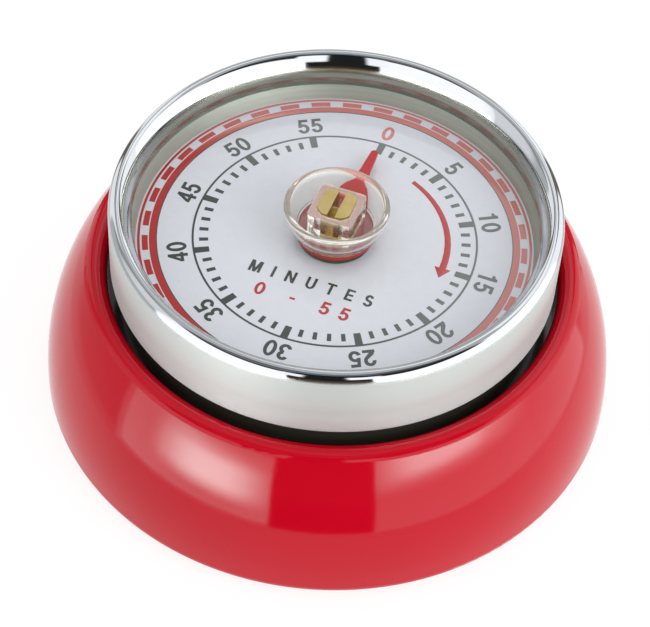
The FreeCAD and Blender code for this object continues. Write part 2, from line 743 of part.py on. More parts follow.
def great_wheel():
    return wheel(GREAT, SHAFT_RADIUS, ORIGIN, SECOND_PLACE[1]).cut(pawl_rivet())


def ratchet_wheel():
    """Saw-toothed steel wheel fixed to the shaft above the great wheel."""
    teeth = 14
    tip = 4.6
    root = 3.8
    points = []
    for k in range(teeth):
        points.append(polar(tip, 360.0 * k / teeth, RATCHET_LAYER[0]))
        points.append(polar(root, 360.0 * (k + 0.05) / teeth, RATCHET_LAYER[0]))
    return polygon_prism(points, RATCHET_LAYER).cut(disc(SHAFT_RADIUS, *RATCHET_LAYER))


def pawl():
    """Steel click on the great wheel; its tip rests over the ratchet teeth."""
    layer = (RATCHET_LAYER[0], PAWL_TOP)
    finger = bar(PAWL_AT, polar(*PAWL_TIP_PLACE), 1.0, *layer)
    return disc(1.2, *layer, PAWL_AT).fuse(finger).removeSplitter().cut(pawl_rivet())


def pawl_rivet():
    shank = disc(0.6, GREAT["layer"][0] - 0.1, PAWL_TOP + 0.3, PAWL_AT)
    return shank.fuse(disc(1.0, PAWL_TOP, PAWL_TOP + 0.3, PAWL_AT)).removeSplitter()


def alarm_cam():
    """Steel disc with one notch that the release lever's nose drops into."""
    start, end = CAM_NOTCH
    floor = CAM_RADIUS - 2.1
    full = [polar(CAM_RADIUS, angle, CAM_LAYER[0]) for angle in (end, end + 150, start + 360)]
    low = [polar(floor, angle, CAM_LAYER[0]) for angle in (start, (start + end) / 2, end)]
    edges = [arc(*full), line(full[2], low[0]), arc(*low), line(low[2], full[0])]
    return upright(edges, CAM_LAYER).cut(disc(SHAFT_RADIUS, *CAM_LAYER))


# ---------------------------------------------------------------- alarm
def release_lever():
    """Steel lever on a stud: its nose lies beside the cam, its tail reaches the hammer's side."""
    nose = polar(CAM_RADIUS + NOSE_RADIUS + 0.15, NOSE_ANGLE)
    tail = LEVER_AT.add(polar(3.6, 75.0))
    shape = disc(1.8, *CAM_LAYER, LEVER_AT)
    shape = shape.fuse(bar(LEVER_AT, nose, 1.0, *CAM_LAYER)).fuse(disc(NOSE_RADIUS, *CAM_LAYER, nose))
    shape = shape.fuse(bar(LEVER_AT, tail, 1.4, *CAM_LAYER)).removeSplitter()
    return shape.cut(disc(LEVER_STUD_RADIUS + RUN, *CAM_LAYER, LEVER_AT))


def release_lever_stud():
    """Shouldered stud riveted in the bottom plate."""
    shoulder = CAM_LAYER[1] + 0.1
    shape = disc(LEVER_STUD_RADIUS, BOTTOM_PLATE[0], shoulder, LEVER_AT)
    return shape.fuse(disc(1.5, shoulder, shoulder + 0.25, LEVER_AT)).removeSplitter()


def gong():
    """Steel bell cup, rim down, on one screw."""
    bend = 2.2
    corner = (GONG_RADIUS - bend, GONG_TOP - bend)
    shape = turned(
        (STUD_RADIUS, GONG_TOP),
        (corner[0], GONG_TOP),
        (on_arc(corner, bend, 45), (GONG_RADIUS, corner[1])),
        (GONG_RADIUS, GONG_RIM),
        (GONG_RADIUS - GONG_WALL, GONG_RIM),
        (GONG_RADIUS - GONG_WALL, corner[1]),
        (on_arc(corner, bend - GONG_WALL, 45), (corner[0], GONG_TOP - GONG_WALL)),
        (STUD_RADIUS, GONG_TOP - GONG_WALL),
    )
    shape.translate(GONG_AT)
    return shape


def gong_spacer():
    return tube(2.0, STUD_RADIUS, GONG_TOP, BOTTOM_PLATE[0], GONG_AT)


def gong_screw():
    """Cheese-headed screw from inside the gong up into the bottom plate."""
    seat = GONG_TOP - GONG_WALL
    head = (seat - 1.0, seat)
    shape = disc(1.9, *head, GONG_AT).fuse(disc(STUD_RADIUS, seat, BOTTOM_PLATE[1], GONG_AT))
    slot = Part.makeBox(5.0, 0.5, 0.45, FreeCAD.Vector(GONG_AT.x - 2.5, GONG_AT.y - 0.25, head[0]))
    return shape.removeSplitter().cut(slot)


def hammer_head_place():
    reach = GONG_RADIUS + HAMMER_HEAD_RADIUS + HAMMER_REST_GAP
    return GONG_AT.add(polar(reach, HAMMER_CONTACT_ANGLE))


def hammer_arbor():
    """Its lower pivot runs on through the bottom plate to carry the arm."""
    return arbor(0.8, HAMMER_AT, pivot_bottom=ARM_LAYER[0] - 0.3)


def hammer_arm():
    """Steel strip under the bottom plate, from the arbor to the head."""
    place = hammer_head_place()
    shape = disc(1.4, *ARM_LAYER, HAMMER_AT).fuse(bar(HAMMER_AT, place, 1.2, *ARM_LAYER))
    shape = shape.fuse(disc(0.9, *ARM_LAYER, place)).removeSplitter()
    return shape.cut(hammer_arbor()).cut(disc(HAMMER_SHANK_RADIUS, *ARM_LAYER, place))


def hammer_head():
    """Brass slug riveted through the end of the arm."""
    place = hammer_head_place()
    shape = disc(HAMMER_SHANK_RADIUS, *ARM_LAYER, place)
    for half in ((ARM_LAYER[1], GONG_TOP), (ARM_LAYER[0] - 0.9, ARM_LAYER[0])):
        shape = shape.fuse(disc(HAMMER_HEAD_RADIUS, *half, place))
    return shape.removeSplitter()


def hammer_tail():
    """Steel finger on the hammer's arbor, above the great wheel's edge, that the train kicks."""
    layer = (12.3, 12.9)
    tip = HAMMER_AT.add(polar(6.2, HAMMER_PLACE[1] + 150))
    shape = disc(1.4, *layer, HAMMER_AT).fuse(bar(HAMMER_AT, tip, 1.0, *layer)).removeSplitter()
    return shape.cut(hammer_arbor())


def hammer_spring():
    """Light spiral on the hammer's arbor, above its tail, that swings the hammer back."""
    shape = spiral(first_radius=1.1, pitch=0.55, half_turns=6, thickness=0.15, layer=(13.4, 14.2))
    shape.translate(HAMMER_AT)
    return shape


# ---------------------------------------------------------------- write every node
NODES = {
    "body_shell": body_shell,
    "bezel": bezel,
    "dial_well_ring": dial_well_ring,
    "dial": dial,
    "carrier": carrier,
    "rear_cover": rear_cover,
    "magnet": magnet,
    "magnet_keeper": magnet_keeper,
    "cover_screws": cover_screws,
    "frame_screws": frame_screws,
    "top_plate": top_plate,
    "bottom_plate": bottom_plate,
    "pillars": pillars,
    "pillar_nuts": pillar_nuts,
    "shaft_bushes": shaft_bushes,
    "mainspring": mainspring,
    "mainspring_post": mainspring_post,
    "release_lever_stud": release_lever_stud,
    "gong": gong,
    "gong_spacer": gong_spacer,
    "gong_screw": gong_screw,
    "main_shaft": main_shaft,
    "knob": knob,
    "pointer": pointer,
    "pointer_bush": pointer_bush,
    "great_wheel": great_wheel,
    "ratchet_wheel": ratchet_wheel,
    "pawl": pawl,
    "pawl_rivet": pawl_rivet,
    "alarm_cam": alarm_cam,
    "second_arbor": second_arbor,
    "second_wheel": second_wheel,
    "third_arbor": third_arbor,
    "third_wheel": third_wheel,
    "escape_arbor": escape_arbor,
    "escape_wheel": escape_wheel,
    "pallet_arbor": pallet_arbor,
    "pallet_lever": pallet_lever,
    "pallet_pins": pallet_pins,
    "inertia_ring": inertia_ring,
    "release_lever": release_lever,
    "hammer_arbor": hammer_arbor,
    "hammer_arm": hammer_arm,
    "hammer_head": hammer_head,
    "hammer_tail": hammer_tail,
    "hammer_spring": hammer_spring,
}


os.makedirs("parts", exist_ok=True)
for name, make in NODES.items():
    save(name, make())
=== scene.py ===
import math

import bpy
from mathutils import Matrix, Vector, geometry


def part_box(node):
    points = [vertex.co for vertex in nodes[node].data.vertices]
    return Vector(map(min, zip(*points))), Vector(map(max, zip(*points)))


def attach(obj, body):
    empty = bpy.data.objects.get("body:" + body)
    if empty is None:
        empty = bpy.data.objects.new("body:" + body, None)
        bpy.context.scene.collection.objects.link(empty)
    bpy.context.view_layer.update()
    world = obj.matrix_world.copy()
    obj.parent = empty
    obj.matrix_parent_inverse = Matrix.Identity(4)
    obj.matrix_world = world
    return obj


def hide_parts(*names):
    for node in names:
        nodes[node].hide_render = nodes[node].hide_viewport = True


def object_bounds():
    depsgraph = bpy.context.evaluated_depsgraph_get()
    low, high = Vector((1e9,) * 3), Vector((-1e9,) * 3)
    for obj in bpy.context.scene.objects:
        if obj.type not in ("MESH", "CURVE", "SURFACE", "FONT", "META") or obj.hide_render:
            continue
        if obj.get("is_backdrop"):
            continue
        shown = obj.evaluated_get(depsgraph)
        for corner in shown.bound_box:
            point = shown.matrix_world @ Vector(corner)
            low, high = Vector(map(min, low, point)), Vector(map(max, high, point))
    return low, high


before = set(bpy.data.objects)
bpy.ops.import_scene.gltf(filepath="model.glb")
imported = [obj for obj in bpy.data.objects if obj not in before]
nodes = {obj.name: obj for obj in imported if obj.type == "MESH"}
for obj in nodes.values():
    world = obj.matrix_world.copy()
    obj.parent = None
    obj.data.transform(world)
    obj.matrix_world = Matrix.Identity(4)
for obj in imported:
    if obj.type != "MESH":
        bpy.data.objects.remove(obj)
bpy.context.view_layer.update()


# Rear cover
# The disc that closes the case from below is black polystyrene. It is injection-moulded
# in a tool with a spark-eroded face, which leaves a fine even grain and a low shine.

def linear(code):
    """An sRGB hex colour as the linear RGBA that a colour socket takes."""
    parts = [int(code[i:i + 2], 16) / 255 for i in (1, 3, 5)]
    parts = [c / 12.92 if c <= 0.04045 else ((c + 0.055) / 1.055) ** 2.4 for c in parts]
    return (*parts, 1.0)


def wire(node, feed):
    """Fills a node's inputs, each from another node's output or with a plain value."""
    for name, value in feed.items():
        socket = node.inputs[name]
        if isinstance(value, bpy.types.NodeSocket):
            node.id_data.links.new(value, socket)
        else:
            socket.default_value = value
    return node


def add(tree, kind, feed, **settings):
    """Adds one node, with its settings and its links."""
    node = tree.nodes.new(kind)
    for name, value in settings.items():
        setattr(node, name, value)
    return wire(node, feed)


def start(name, base, roughness, metallic=0.0, ior=1.5):
    """A new material, its tree, its shader and the place of each point on the piece in metres."""
    material = bpy.data.materials.new(name)
    material.use_nodes = True
    tree = material.node_tree
    shader = tree.nodes["Principled BSDF"]
    wire(shader, {"Base Color": linear(base), "Roughness": roughness, "Metallic": metallic, "IOR": ior})
    return material, tree, shader, add(tree, "ShaderNodeTexCoord", {}).outputs["Object"]


def finish(material, *names):
    """Puts a material on CAD nodes in place of the plain one they come with."""
    for name in names:
        nodes[name].data.materials.clear()
        nodes[name].data.materials.append(material)


# Blender works in metres, so a size is written as so many mm, and a pattern as so many to a mm.
mm = 0.001

# Spark-eroded grain: a bump of about 0.3 mm breaks the highlight up into a fine sparkle.
grained, tree, shader, place = start("moulded_polystyrene_spark_eroded", "#17171A", 0.5)
grain = add(tree, "ShaderNodeTexNoise", {"Vector": place, "Scale": 3.3 / mm, "Detail": 3.0,
                                         "Roughness": 0.6})
cloud = add(tree, "ShaderNodeTexNoise", {"Vector": place, "Scale": 0.18 / mm, "Detail": 4.0})
shade = add(tree, "ShaderNodeMix", {0: cloud.outputs["Fac"], 6: linear("#101012"), 7: linear("#202023")},
            data_type="RGBA")
shine = add(tree, "ShaderNodeMapRange", {"Value": grain.outputs["Fac"], "From Min": 0.3, "From Max": 0.7,
                                         "To Min": 0.4, "To Max": 0.6})
relief = add(tree, "ShaderNodeBump", {"Height": grain.outputs["Fac"], "Strength": 0.5,
                                      "Distance": 0.03 * mm})
wire(shader, {"Base Color": shade.outputs[2], "Roughness": shine.outputs[0], "Normal": relief.outputs[0]})
finish(grained, "rear_cover")


# Magnet
# A sintered ferrite ring sits in the rear cover and holds the timer on a steel door. Its
# faces are ground flat after firing, which leaves fine straight lines and open pores.

# Ground ferrite: dark grey ceramic, with lines along the grinding way and black pores.
ferrite, tree, shader, place = start("sintered_ferrite_ground", "#2E3034", 0.55)
along = add(tree, "ShaderNodeVectorMath", {0: place, 1: (0.06 / mm, 2.6 / mm, 0.06 / mm)},
            operation="MULTIPLY")
lines = add(tree, "ShaderNodeTexNoise", {"Vector": along.outputs[0], "Scale": 1.0, "Detail": 5.0,
                                         "Roughness": 0.7})
pores = add(tree, "ShaderNodeTexVoronoi", {"Vector": place, "Scale": 1.9 / mm})
open_pore = add(tree, "ShaderNodeMapRange", {"Value": pores.outputs["Distance"], "From Min": 0.08,
                                             "From Max": 0.3})
shade = add(tree, "ShaderNodeMix", {0: open_pore.outputs[0], 6: linear("#141518"), 7: linear("#36383D")},
            data_type="RGBA")
shine = add(tree, "ShaderNodeMapRange", {"Value": lines.outputs["Fac"], "To Min": 0.4, "To Max": 0.7})
relief = add(tree, "ShaderNodeBump", {"Height": lines.outputs["Fac"], "Strength": 0.3,
                                      "Distance": 0.03 * mm})
wire(shader, {"Base Color": shade.outputs[2], "Roughness": shine.outputs[0], "Normal": relief.outputs[0]})
finish(ferrite, "magnet")


# Body shell
# The skirt of the case is drawn from 0.8 mm steel sheet, rolled in at the top lip and at
# the foot. It is sprayed and baked with a thick red enamel that flows almost level.

# Baked enamel: a deep even red under a clear skin, with a slow orange peel of about 2 mm
# that makes the edges of reflections waver, and a few specks of dust caught in the film. The
# skin takes a little red out of what it mirrors, so bright lamps look pale pink in it.
enamel, tree, shader, place = start("baked_red_enamel_on_drawn_steel", "#BE031E", 0.07)
peel = add(tree, "ShaderNodeTexNoise", {"Vector": place, "Scale": 0.42 / mm, "Detail": 2.0,
                                        "Roughness": 0.4})
depth = add(tree, "ShaderNodeTexNoise", {"Vector": place, "Scale": 0.06 / mm, "Detail": 3.0})
shade = add(tree, "ShaderNodeMix", {0: depth.outputs["Fac"], 6: linear("#BC011A"), 7: linear("#C70421")},
            data_type="RGBA")
specks = add(tree, "ShaderNodeTexVoronoi", {"Vector": place, "Scale": 0.23 / mm})
dust = add(tree, "ShaderNodeMapRange", {"Value": specks.outputs["Distance"], "From Min": 0.02,
                                        "From Max": 0.07, "To Min": 1.0, "To Max": 0.0})
heights = add(tree, "ShaderNodeMath", {0: dust.outputs[0], 1: 0.35, 2: peel.outputs["Fac"]},
              operation="MULTIPLY_ADD")
shine = add(tree, "ShaderNodeMapRange", {"Value": depth.outputs["Fac"], "To Min": 0.05, "To Max": 0.1})
relief = add(tree, "ShaderNodeBump", {"Height": heights.outputs[0], "Strength": 0.16, "Distance": 0.04 * mm})
wire(shader, {"Base Color": shade.outputs[2], "Roughness": shine.outputs[0], "Normal": relief.outputs[0],
              "Specular IOR Level": 0.3, "Specular Tint": linear("#CDFFFF")})
finish(enamel, "body_shell")


# Screws, nuts and small pressings
# These are bought-in steel parts and small steel stampings, barrel-plated with bright
# zinc. The tumbling leaves tiny dents, and the plating has a faint blue and straw bloom.

# Barrel-plated zinc: metal with 1 mm patches of cool and warm grey and a soft satin shine.
zinc, tree, shader, place = start("barrel_plated_zinc", "#BFC3C6", 0.35, metallic=1.0)
bloom = add(tree, "ShaderNodeTexNoise", {"Vector": place, "Scale": 0.9 / mm, "Detail": 4.0})
dents = add(tree, "ShaderNodeTexNoise", {"Vector": place, "Scale": 3.6 / mm, "Detail": 2.0})
shade = add(tree, "ShaderNodeMix", {0: bloom.outputs["Fac"], 6: linear("#A9B2BC"), 7: linear("#D3CFC4")},
            data_type="RGBA")
shine = add(tree, "ShaderNodeMapRange", {"Value": bloom.outputs["Fac"], "To Min": 0.24, "To Max": 0.46})
relief = add(tree, "ShaderNodeBump", {"Height": dents.outputs["Fac"], "Strength": 0.25,
                                      "Distance": 0.02 * mm})
wire(shader, {"Base Color": shade.outputs[2], "Roughness": shine.outputs[0], "Normal": relief.outputs[0]})
finish(zinc, "cover_screws", "frame_screws", "pillar_nuts", "gong_screw", "magnet_keeper",
       "release_lever", "hammer_arm", "hammer_tail")


# Carrier
# The moulding that carries shell, bezel, dial and movement is black polystyrene too. Its
# neck shows in the gap under the bezel, so that part of the tool is polished.

# Polished moulding: olive-black and glossy, with faint flow lines running round the neck.
glossy, tree, shader, place = start("moulded_polystyrene_polished", "#3C3D35", 0.14)
round_neck = add(tree, "ShaderNodeVectorMath", {0: place, 1: (0.12 / mm, 0.12 / mm, 1.8 / mm)},
                 operation="MULTIPLY")
flow = add(tree, "ShaderNodeTexNoise", {"Vector": round_neck.outputs[0], "Scale": 1.0, "Detail": 3.0})
shade = add(tree, "ShaderNodeMix", {0: flow.outputs["Fac"], 6: linear("#33342D"), 7: linear("#46453A")},
            data_type="RGBA")
shine = add(tree, "ShaderNodeMapRange", {"Value": flow.outputs["Fac"], "To Min": 0.1, "To Max": 0.2})
relief = add(tree, "ShaderNodeBump", {"Height": flow.outputs["Fac"], "Strength": 0.12,
                                      "Distance": 0.04 * mm})
wire(shader, {"Base Color": shade.outputs[2], "Roughness": shine.outputs[0], "Normal": relief.outputs[0]})
finish(glossy, "carrier")


# Movement plates
# Two plates blanked from rolled steel strip hold the train. They are zinc-plated after
# blanking, so the long rolling lines still show through the thin plating.

# Plated rolled strip: pale metal with straight lines about 0.1 mm apart along X, drawn at
# 0.2 mm so that they hold together at arm's length.
strip, tree, shader, place = start("zinc_plated_rolled_strip", "#C3C6C8", 0.3, metallic=1.0)
along = add(tree, "ShaderNodeVectorMath", {0: place, 1: (0.09 / mm, 5 / mm, 5 / mm)}, operation="MULTIPLY")
lines = add(tree, "ShaderNodeTexNoise", {"Vector": along.outputs[0], "Scale": 1.0, "Detail": 4.0})
bloom = add(tree, "ShaderNodeTexNoise", {"Vector": place, "Scale": 0.16 / mm, "Detail": 5.0})
shade = add(tree, "ShaderNodeMix", {0: bloom.outputs["Fac"], 6: linear("#B2B8BE"), 7: linear("#D2D1CB")},
            data_type="RGBA")
shine = add(tree, "ShaderNodeMapRange", {"Value": lines.outputs["Fac"], "From Min": 0.3, "From Max": 0.7,
                                         "To Min": 0.22, "To Max": 0.42})
relief = add(tree, "ShaderNodeBump", {"Height": lines.outputs["Fac"], "Strength": 0.2,
                                      "Distance": 0.02 * mm})
wire(shader, {"Base Color": shade.outputs[2], "Roughness": shine.outputs[0], "Normal": relief.outputs[0]})
finish(strip, "top_plate", "bottom_plate")


# Pillars, arbors and pins
# The pillars, arbors with their cut pinions, posts and pins are turned from free-cutting
# steel bar and left bright. The tool leaves fine rings round each of them.

# Turned steel: a bright metal with rings along its length, about 0.15 mm apart.
turned, tree, shader, place = start("turned_bright_steel", "#C4C6C8", 0.22, metallic=1.0)
along = add(tree, "ShaderNodeVectorMath", {0: place, 1: (0.04 / mm, 0.04 / mm, 7 / mm)},
            operation="MULTIPLY")
rings = add(tree, "ShaderNodeTexNoise", {"Vector": along.outputs[0], "Scale": 1.0, "Detail": 3.0})
stain = add(tree, "ShaderNodeTexNoise", {"Vector": place, "Scale": 0.5 / mm, "Detail": 4.0})
shade = add(tree, "ShaderNodeMix", {0: stain.outputs["Fac"], 6: linear("#AFB2B5"), 7: linear("#D6D7D8")},
            data_type="RGBA")
shine = add(tree, "ShaderNodeMapRange", {"Value": rings.outputs["Fac"], "To Min": 0.14, "To Max": 0.34})
relief = add(tree, "ShaderNodeBump", {"Height": rings.outputs["Fac"], "Strength": 0.25,
                                      "Distance": 0.02 * mm})
wire(shader, {"Base Color": shade.outputs[2], "Roughness": shine.outputs[0], "Normal": relief.outputs[0]})
finish(turned, "pillars", "mainspring_post", "release_lever_stud", "gong_spacer", "ratchet_wheel", "pawl",
       "alarm_cam", "second_arbor", "third_arbor", "escape_arbor", "pallet_arbor", "pallet_lever",
       "pallet_pins", "hammer_arbor")


# Wheels and balance
# The wheels, the inertia ring and the pawl's rivet are stamped from rolled brass sheet.
# The strip's grain runs straight across them and the blanked edges stay bright.

# Stamped brass: warm yellow metal, straight rolling grain and a light brown tarnish.
sheet_brass, tree, shader, place = start("stamped_brass_sheet", "#D2AC5A", 0.3, metallic=1.0)
along = add(tree, "ShaderNodeVectorMath", {0: place, 1: (4.2 / mm, 0.08 / mm, 4.2 / mm)},
            operation="MULTIPLY")
lines = add(tree, "ShaderNodeTexNoise", {"Vector": along.outputs[0], "Scale": 1.0, "Detail": 4.0})
tarnish = add(tree, "ShaderNodeTexNoise", {"Vector": place, "Scale": 0.24 / mm, "Detail": 6.0})
shade = add(tree, "ShaderNodeMix", {0: tarnish.outputs["Fac"], 6: linear("#B98F42"), 7: linear("#E2C074")},
            data_type="RGBA")
shine = add(tree, "ShaderNodeMapRange", {"Value": lines.outputs["Fac"], "To Min": 0.2, "To Max": 0.42})
relief = add(tree, "ShaderNodeBump", {"Height": lines.outputs["Fac"], "Strength": 0.2,
                                      "Distance": 0.02 * mm})
wire(shader, {"Base Color": shade.outputs[2], "Roughness": shine.outputs[0], "Normal": relief.outputs[0]})
finish(sheet_brass, "great_wheel", "second_wheel", "third_wheel", "escape_wheel", "inertia_ring",
       "pawl_rivet")


# Main shaft, bushes and hammer head
# These are turned from brass bar on an automatic lathe. The shaft's end is slotted and
# its two halves are filed flat, and they show through the clear knob.

# Turned brass: yellow metal with rings along its length, about 0.17 mm apart.
bar_brass, tree, shader, place = start("turned_brass_bar", "#D9B75F", 0.24, metallic=1.0)
along = add(tree, "ShaderNodeVectorMath", {0: place, 1: (0.06 / mm, 0.06 / mm, 6 / mm)},
            operation="MULTIPLY")
rings = add(tree, "ShaderNodeTexNoise", {"Vector": along.outputs[0], "Scale": 1.0, "Detail": 3.0})
tarnish = add(tree, "ShaderNodeTexNoise", {"Vector": place, "Scale": 0.6 / mm, "Detail": 4.0})
shade = add(tree, "ShaderNodeMix", {0: tarnish.outputs["Fac"], 6: linear("#B49A5A"), 7: linear("#D4C088")},
            data_type="RGBA")
shine = add(tree, "ShaderNodeMapRange", {"Value": rings.outputs["Fac"], "To Min": 0.18, "To Max": 0.36})
relief = add(tree, "ShaderNodeBump", {"Height": rings.outputs["Fac"], "Strength": 0.25,
                                      "Distance": 0.02 * mm})
wire(shader, {"Base Color": shade.outputs[2], "Roughness": shine.outputs[0], "Normal": relief.outputs[0]})
finish(bar_brass, "main_shaft", "shaft_bushes", "hammer_head")

# Tarnished and shaded brass: the collar under the pointer is painted a dark olive-brown, which is
# painted shade under the pointer and knob, with darker tarnish spots.
shaded_dull_brass, tree, shader, place = start("tarnished_and_shaded_brass_bar", "#6E6650", 0.42, metallic=1.0)
spots = add(tree, "ShaderNodeTexNoise", {"Vector": place, "Scale": 0.9 / mm, "Detail": 5.0})
# Painted shade: the collar's whole colour is kept dark.
shade = add(tree, "ShaderNodeMix", {0: spots.outputs["Fac"], 6: linear("#544E3C"), 7: linear("#8A8068")},
            data_type="RGBA")
shine = add(tree, "ShaderNodeMapRange", {"Value": spots.outputs["Fac"], "To Min": 0.34, "To Max": 0.5})
relief = add(tree, "ShaderNodeBump", {"Height": spots.outputs["Fac"], "Strength": 0.2,
                                      "Distance": 0.03 * mm})
wire(shader, {"Base Color": shade.outputs[2], "Roughness": shine.outputs[0], "Normal": relief.outputs[0]})
finish(shaded_dull_brass, "pointer_bush")


# Mainspring and hammer spring
# The long mainspring and the small hammer spring are hardened steel strip and wire. They
# are tempered to a dark blue, which turns straw and brown where the heat fell off.

# Tempered steel: a dark oxide film over smooth metal, blue with brown patches.
blued, tree, shader, place = start("tempered_blue_spring_steel", "#2B3558", 0.25, metallic=1.0)
heat = add(tree, "ShaderNodeTexNoise", {"Vector": place, "Scale": 0.26 / mm, "Detail": 3.0})
heat_end = add(tree, "ShaderNodeMapRange", {"Value": heat.outputs["Fac"], "From Min": 0.5, "From Max": 0.75})
shade = add(tree, "ShaderNodeMix", {0: heat_end.outputs[0], 6: linear("#27335C"), 7: linear("#6B5345")},
            data_type="RGBA")
along = add(tree, "ShaderNodeVectorMath", {0: place, 1: (0.2 / mm, 0.2 / mm, 5 / mm)}, operation="MULTIPLY")
lines = add(tree, "ShaderNodeTexNoise", {"Vector": along.outputs[0], "Scale": 1.0, "Detail": 3.0})
shine = add(tree, "ShaderNodeMapRange", {"Value": lines.outputs["Fac"], "To Min": 0.16, "To Max": 0.36})
relief = add(tree, "ShaderNodeBump", {"Height": lines.outputs["Fac"], "Strength": 0.15,
                                      "Distance": 0.02 * mm})
wire(shader, {"Base Color": shade.outputs[2], "Roughness": shine.outputs[0], "Normal": relief.outputs[0]})
finish(blued, "mainspring", "hammer_spring")


# Gong
# The bell is a shallow cup of hardened steel, spun to shape and left as it comes off the
# lathe. It hangs free on one spacer so that it can ring.

def off_axis(tree, place, axis):
    """The level offset of each point from an upright axis."""
    offset = add(tree, "ShaderNodeVectorMath", {0: place, 1: tuple(axis)}, operation="SUBTRACT")
    return add(tree, "ShaderNodeVectorMath", {0: offset.outputs[0], 1: (1.0, 1.0, 0.0)},
               operation="MULTIPLY").outputs[0]


# Spun steel: mid-grey metal with rings round its axis from the spinning tool.
spun, tree, shader, place = start("spun_gong_steel", "#9EA3A8", 0.28, metallic=1.0)
lowest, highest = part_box("gong")
gong_axis = (lowest + highest) / 2
radius = add(tree, "ShaderNodeVectorMath", {0: off_axis(tree, place, gong_axis)}, operation="LENGTH")
rings = add(tree, "ShaderNodeTexNoise", {"W": radius.outputs["Value"], "Scale": 3.5 / mm, "Detail": 3.0},
            noise_dimensions="1D")
stain = add(tree, "ShaderNodeTexNoise", {"Vector": place, "Scale": 0.14 / mm, "Detail": 5.0})
shade = add(tree, "ShaderNodeMix", {0: stain.outputs["Fac"], 6: linear("#8A8F95"), 7: linear("#B3B6B8")},
            data_type="RGBA")
shine = add(tree, "ShaderNodeMapRange", {"Value": rings.outputs["Fac"], "To Min": 0.18, "To Max": 0.4})
relief = add(tree, "ShaderNodeBump", {"Height": rings.outputs["Fac"], "Strength": 0.3,
                                      "Distance": 0.02 * mm})
wire(shader, {"Base Color": shade.outputs[2], "Roughness": shine.outputs[0], "Normal": relief.outputs[0]})
finish(spun, "gong")


# Dial
# The dial is a disc of thin steel, coated with a cool white lacquer and baked. The
# lacquer is smooth and glossy, with a trace of texture and a few fine specks.

# White lacquer: cool off-white, a low even gloss and very faint mottling.
lacquer, tree, shader, place = start("white_lacquer_on_steel", "#D9DDE4", 0.24)
mottle = add(tree, "ShaderNodeTexNoise", {"Vector": place, "Scale": 0.9 / mm, "Detail": 3.0})
shade = add(tree, "ShaderNodeMix", {0: mottle.outputs["Fac"], 6: linear("#D5D9E1"), 7: linear("#DDE0E7")},
            data_type="RGBA")
specks = add(tree, "ShaderNodeTexVoronoi", {"Vector": place, "Scale": 0.52 / mm})
dust = add(tree, "ShaderNodeMapRange", {"Value": specks.outputs["Distance"], "From Min": 0.03,
                                        "From Max": 0.06, "To Min": 0.5, "To Max": 0.0})
shade = add(tree, "ShaderNodeMix", {0: dust.outputs[0], 6: shade.outputs[2], 7: linear("#B9BCC2")},
            data_type="RGBA")
shine = add(tree, "ShaderNodeMapRange", {"Value": mottle.outputs["Fac"], "To Min": 0.2, "To Max": 0.3})
relief = add(tree, "ShaderNodeBump", {"Height": mottle.outputs["Fac"], "Strength": 0.1,
                                      "Distance": 0.03 * mm})
wire(shader, {"Base Color": shade.outputs[2], "Roughness": shine.outputs[0], "Normal": relief.outputs[0],
              "Specular IOR Level": 0.0, "Coat Weight": 1.0, "Coat Roughness": 0.03, "Coat IOR": 1.5})
finish(lacquer, "dial")


# Minute scale
# The print on the dial is screen ink, laid down as a thin film in two passes, dark grey
# and red. The scale is a fine ring with a tick for each minute from 0 to 55.

dial_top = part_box("dial")[1].z
dial_axis = (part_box("dial")[0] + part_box("dial")[1]) / 2
film = 0.03 * mm
degrees_a_minute = 6


def on_dial(reach, turn):
    """A point of the print, in mm from the dial's centre and degrees clockwise from the 0 mark."""
    return (reach * math.sin(math.radians(turn)), reach * math.cos(math.radians(turn)))


def sector(inner, outer, begin, end, step=2.5):
    """Part of a flat ring, between two radii in mm and two turns in degrees."""
    count = max(2, math.ceil((end - begin) / step) + 1)
    turns = [begin + (end - begin) * i / (count - 1) for i in range(count)]
    return [on_dial(outer, t) for t in turns] + [on_dial(inner, t) for t in reversed(turns)]


def whole(inner, outer):
    """A full flat ring, in four sectors that share their edges."""
    return [sector(inner, outer, 90 * i, 90 * i + 90) for i in range(4)]


def printed(name, outlines, ink):
    """One film of ink on the dial that covers all of these outlines, as a closed thin solid."""
    coords, faces = [], []
    for outline in outlines:
        area = sum(a[0] * b[1] - b[0] * a[1] for a, b in zip(outline, outline[1:] + outline[:1]))
        loop = outline if area > 0 else outline[::-1]
        faces.append(list(range(len(coords), len(coords) + len(loop))))
        coords += [Vector(point) for point in loop]
    # Kind 1 gives only the triangles inside the outlines. Points nearer than this join up.
    join_distance = 1e-4
    points, _, triangles, _, _, owners = geometry.delaunay_2d_cdt(coords, [], faces, 1, join_distance)
    triangles = [t for t, owner in zip(triangles, owners) if owner]
    used = sorted({i for t in triangles for i in t})
    place_of = {old: new for new, old in enumerate(used)}
    triangles = [tuple(place_of[i] for i in t) for t in triangles]
    count = len(used)
    spots = [(dial_axis.x + points[i].x * mm, dial_axis.y + points[i].y * mm) for i in used]
    edges = {(t[i], t[(i + 1) % 3]) for t in triangles for i in range(3)}
    rim = [(a, b) for a, b in edges if (b, a) not in edges]
    mesh = bpy.data.meshes.new(name)
    mesh.from_pydata(
        [(x, y, dial_top + film) for x, y in spots] + [(x, y, dial_top) for x, y in spots], [],
        triangles + [tuple(i + count for i in reversed(t)) for t in triangles]
        + [(a, a + count, b + count, b) for a, b in sorted(rim)])
    mesh.materials.append(ink)
    piece = bpy.data.objects.new(name, mesh)
    bpy.context.scene.collection.objects.link(piece)
    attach(piece, "case")


# The print is painted paler from the arrow outwards, most of all towards minute 6: a painted haze of
# reflected light.
haze_way = (0.576, 0.817, 0.0)


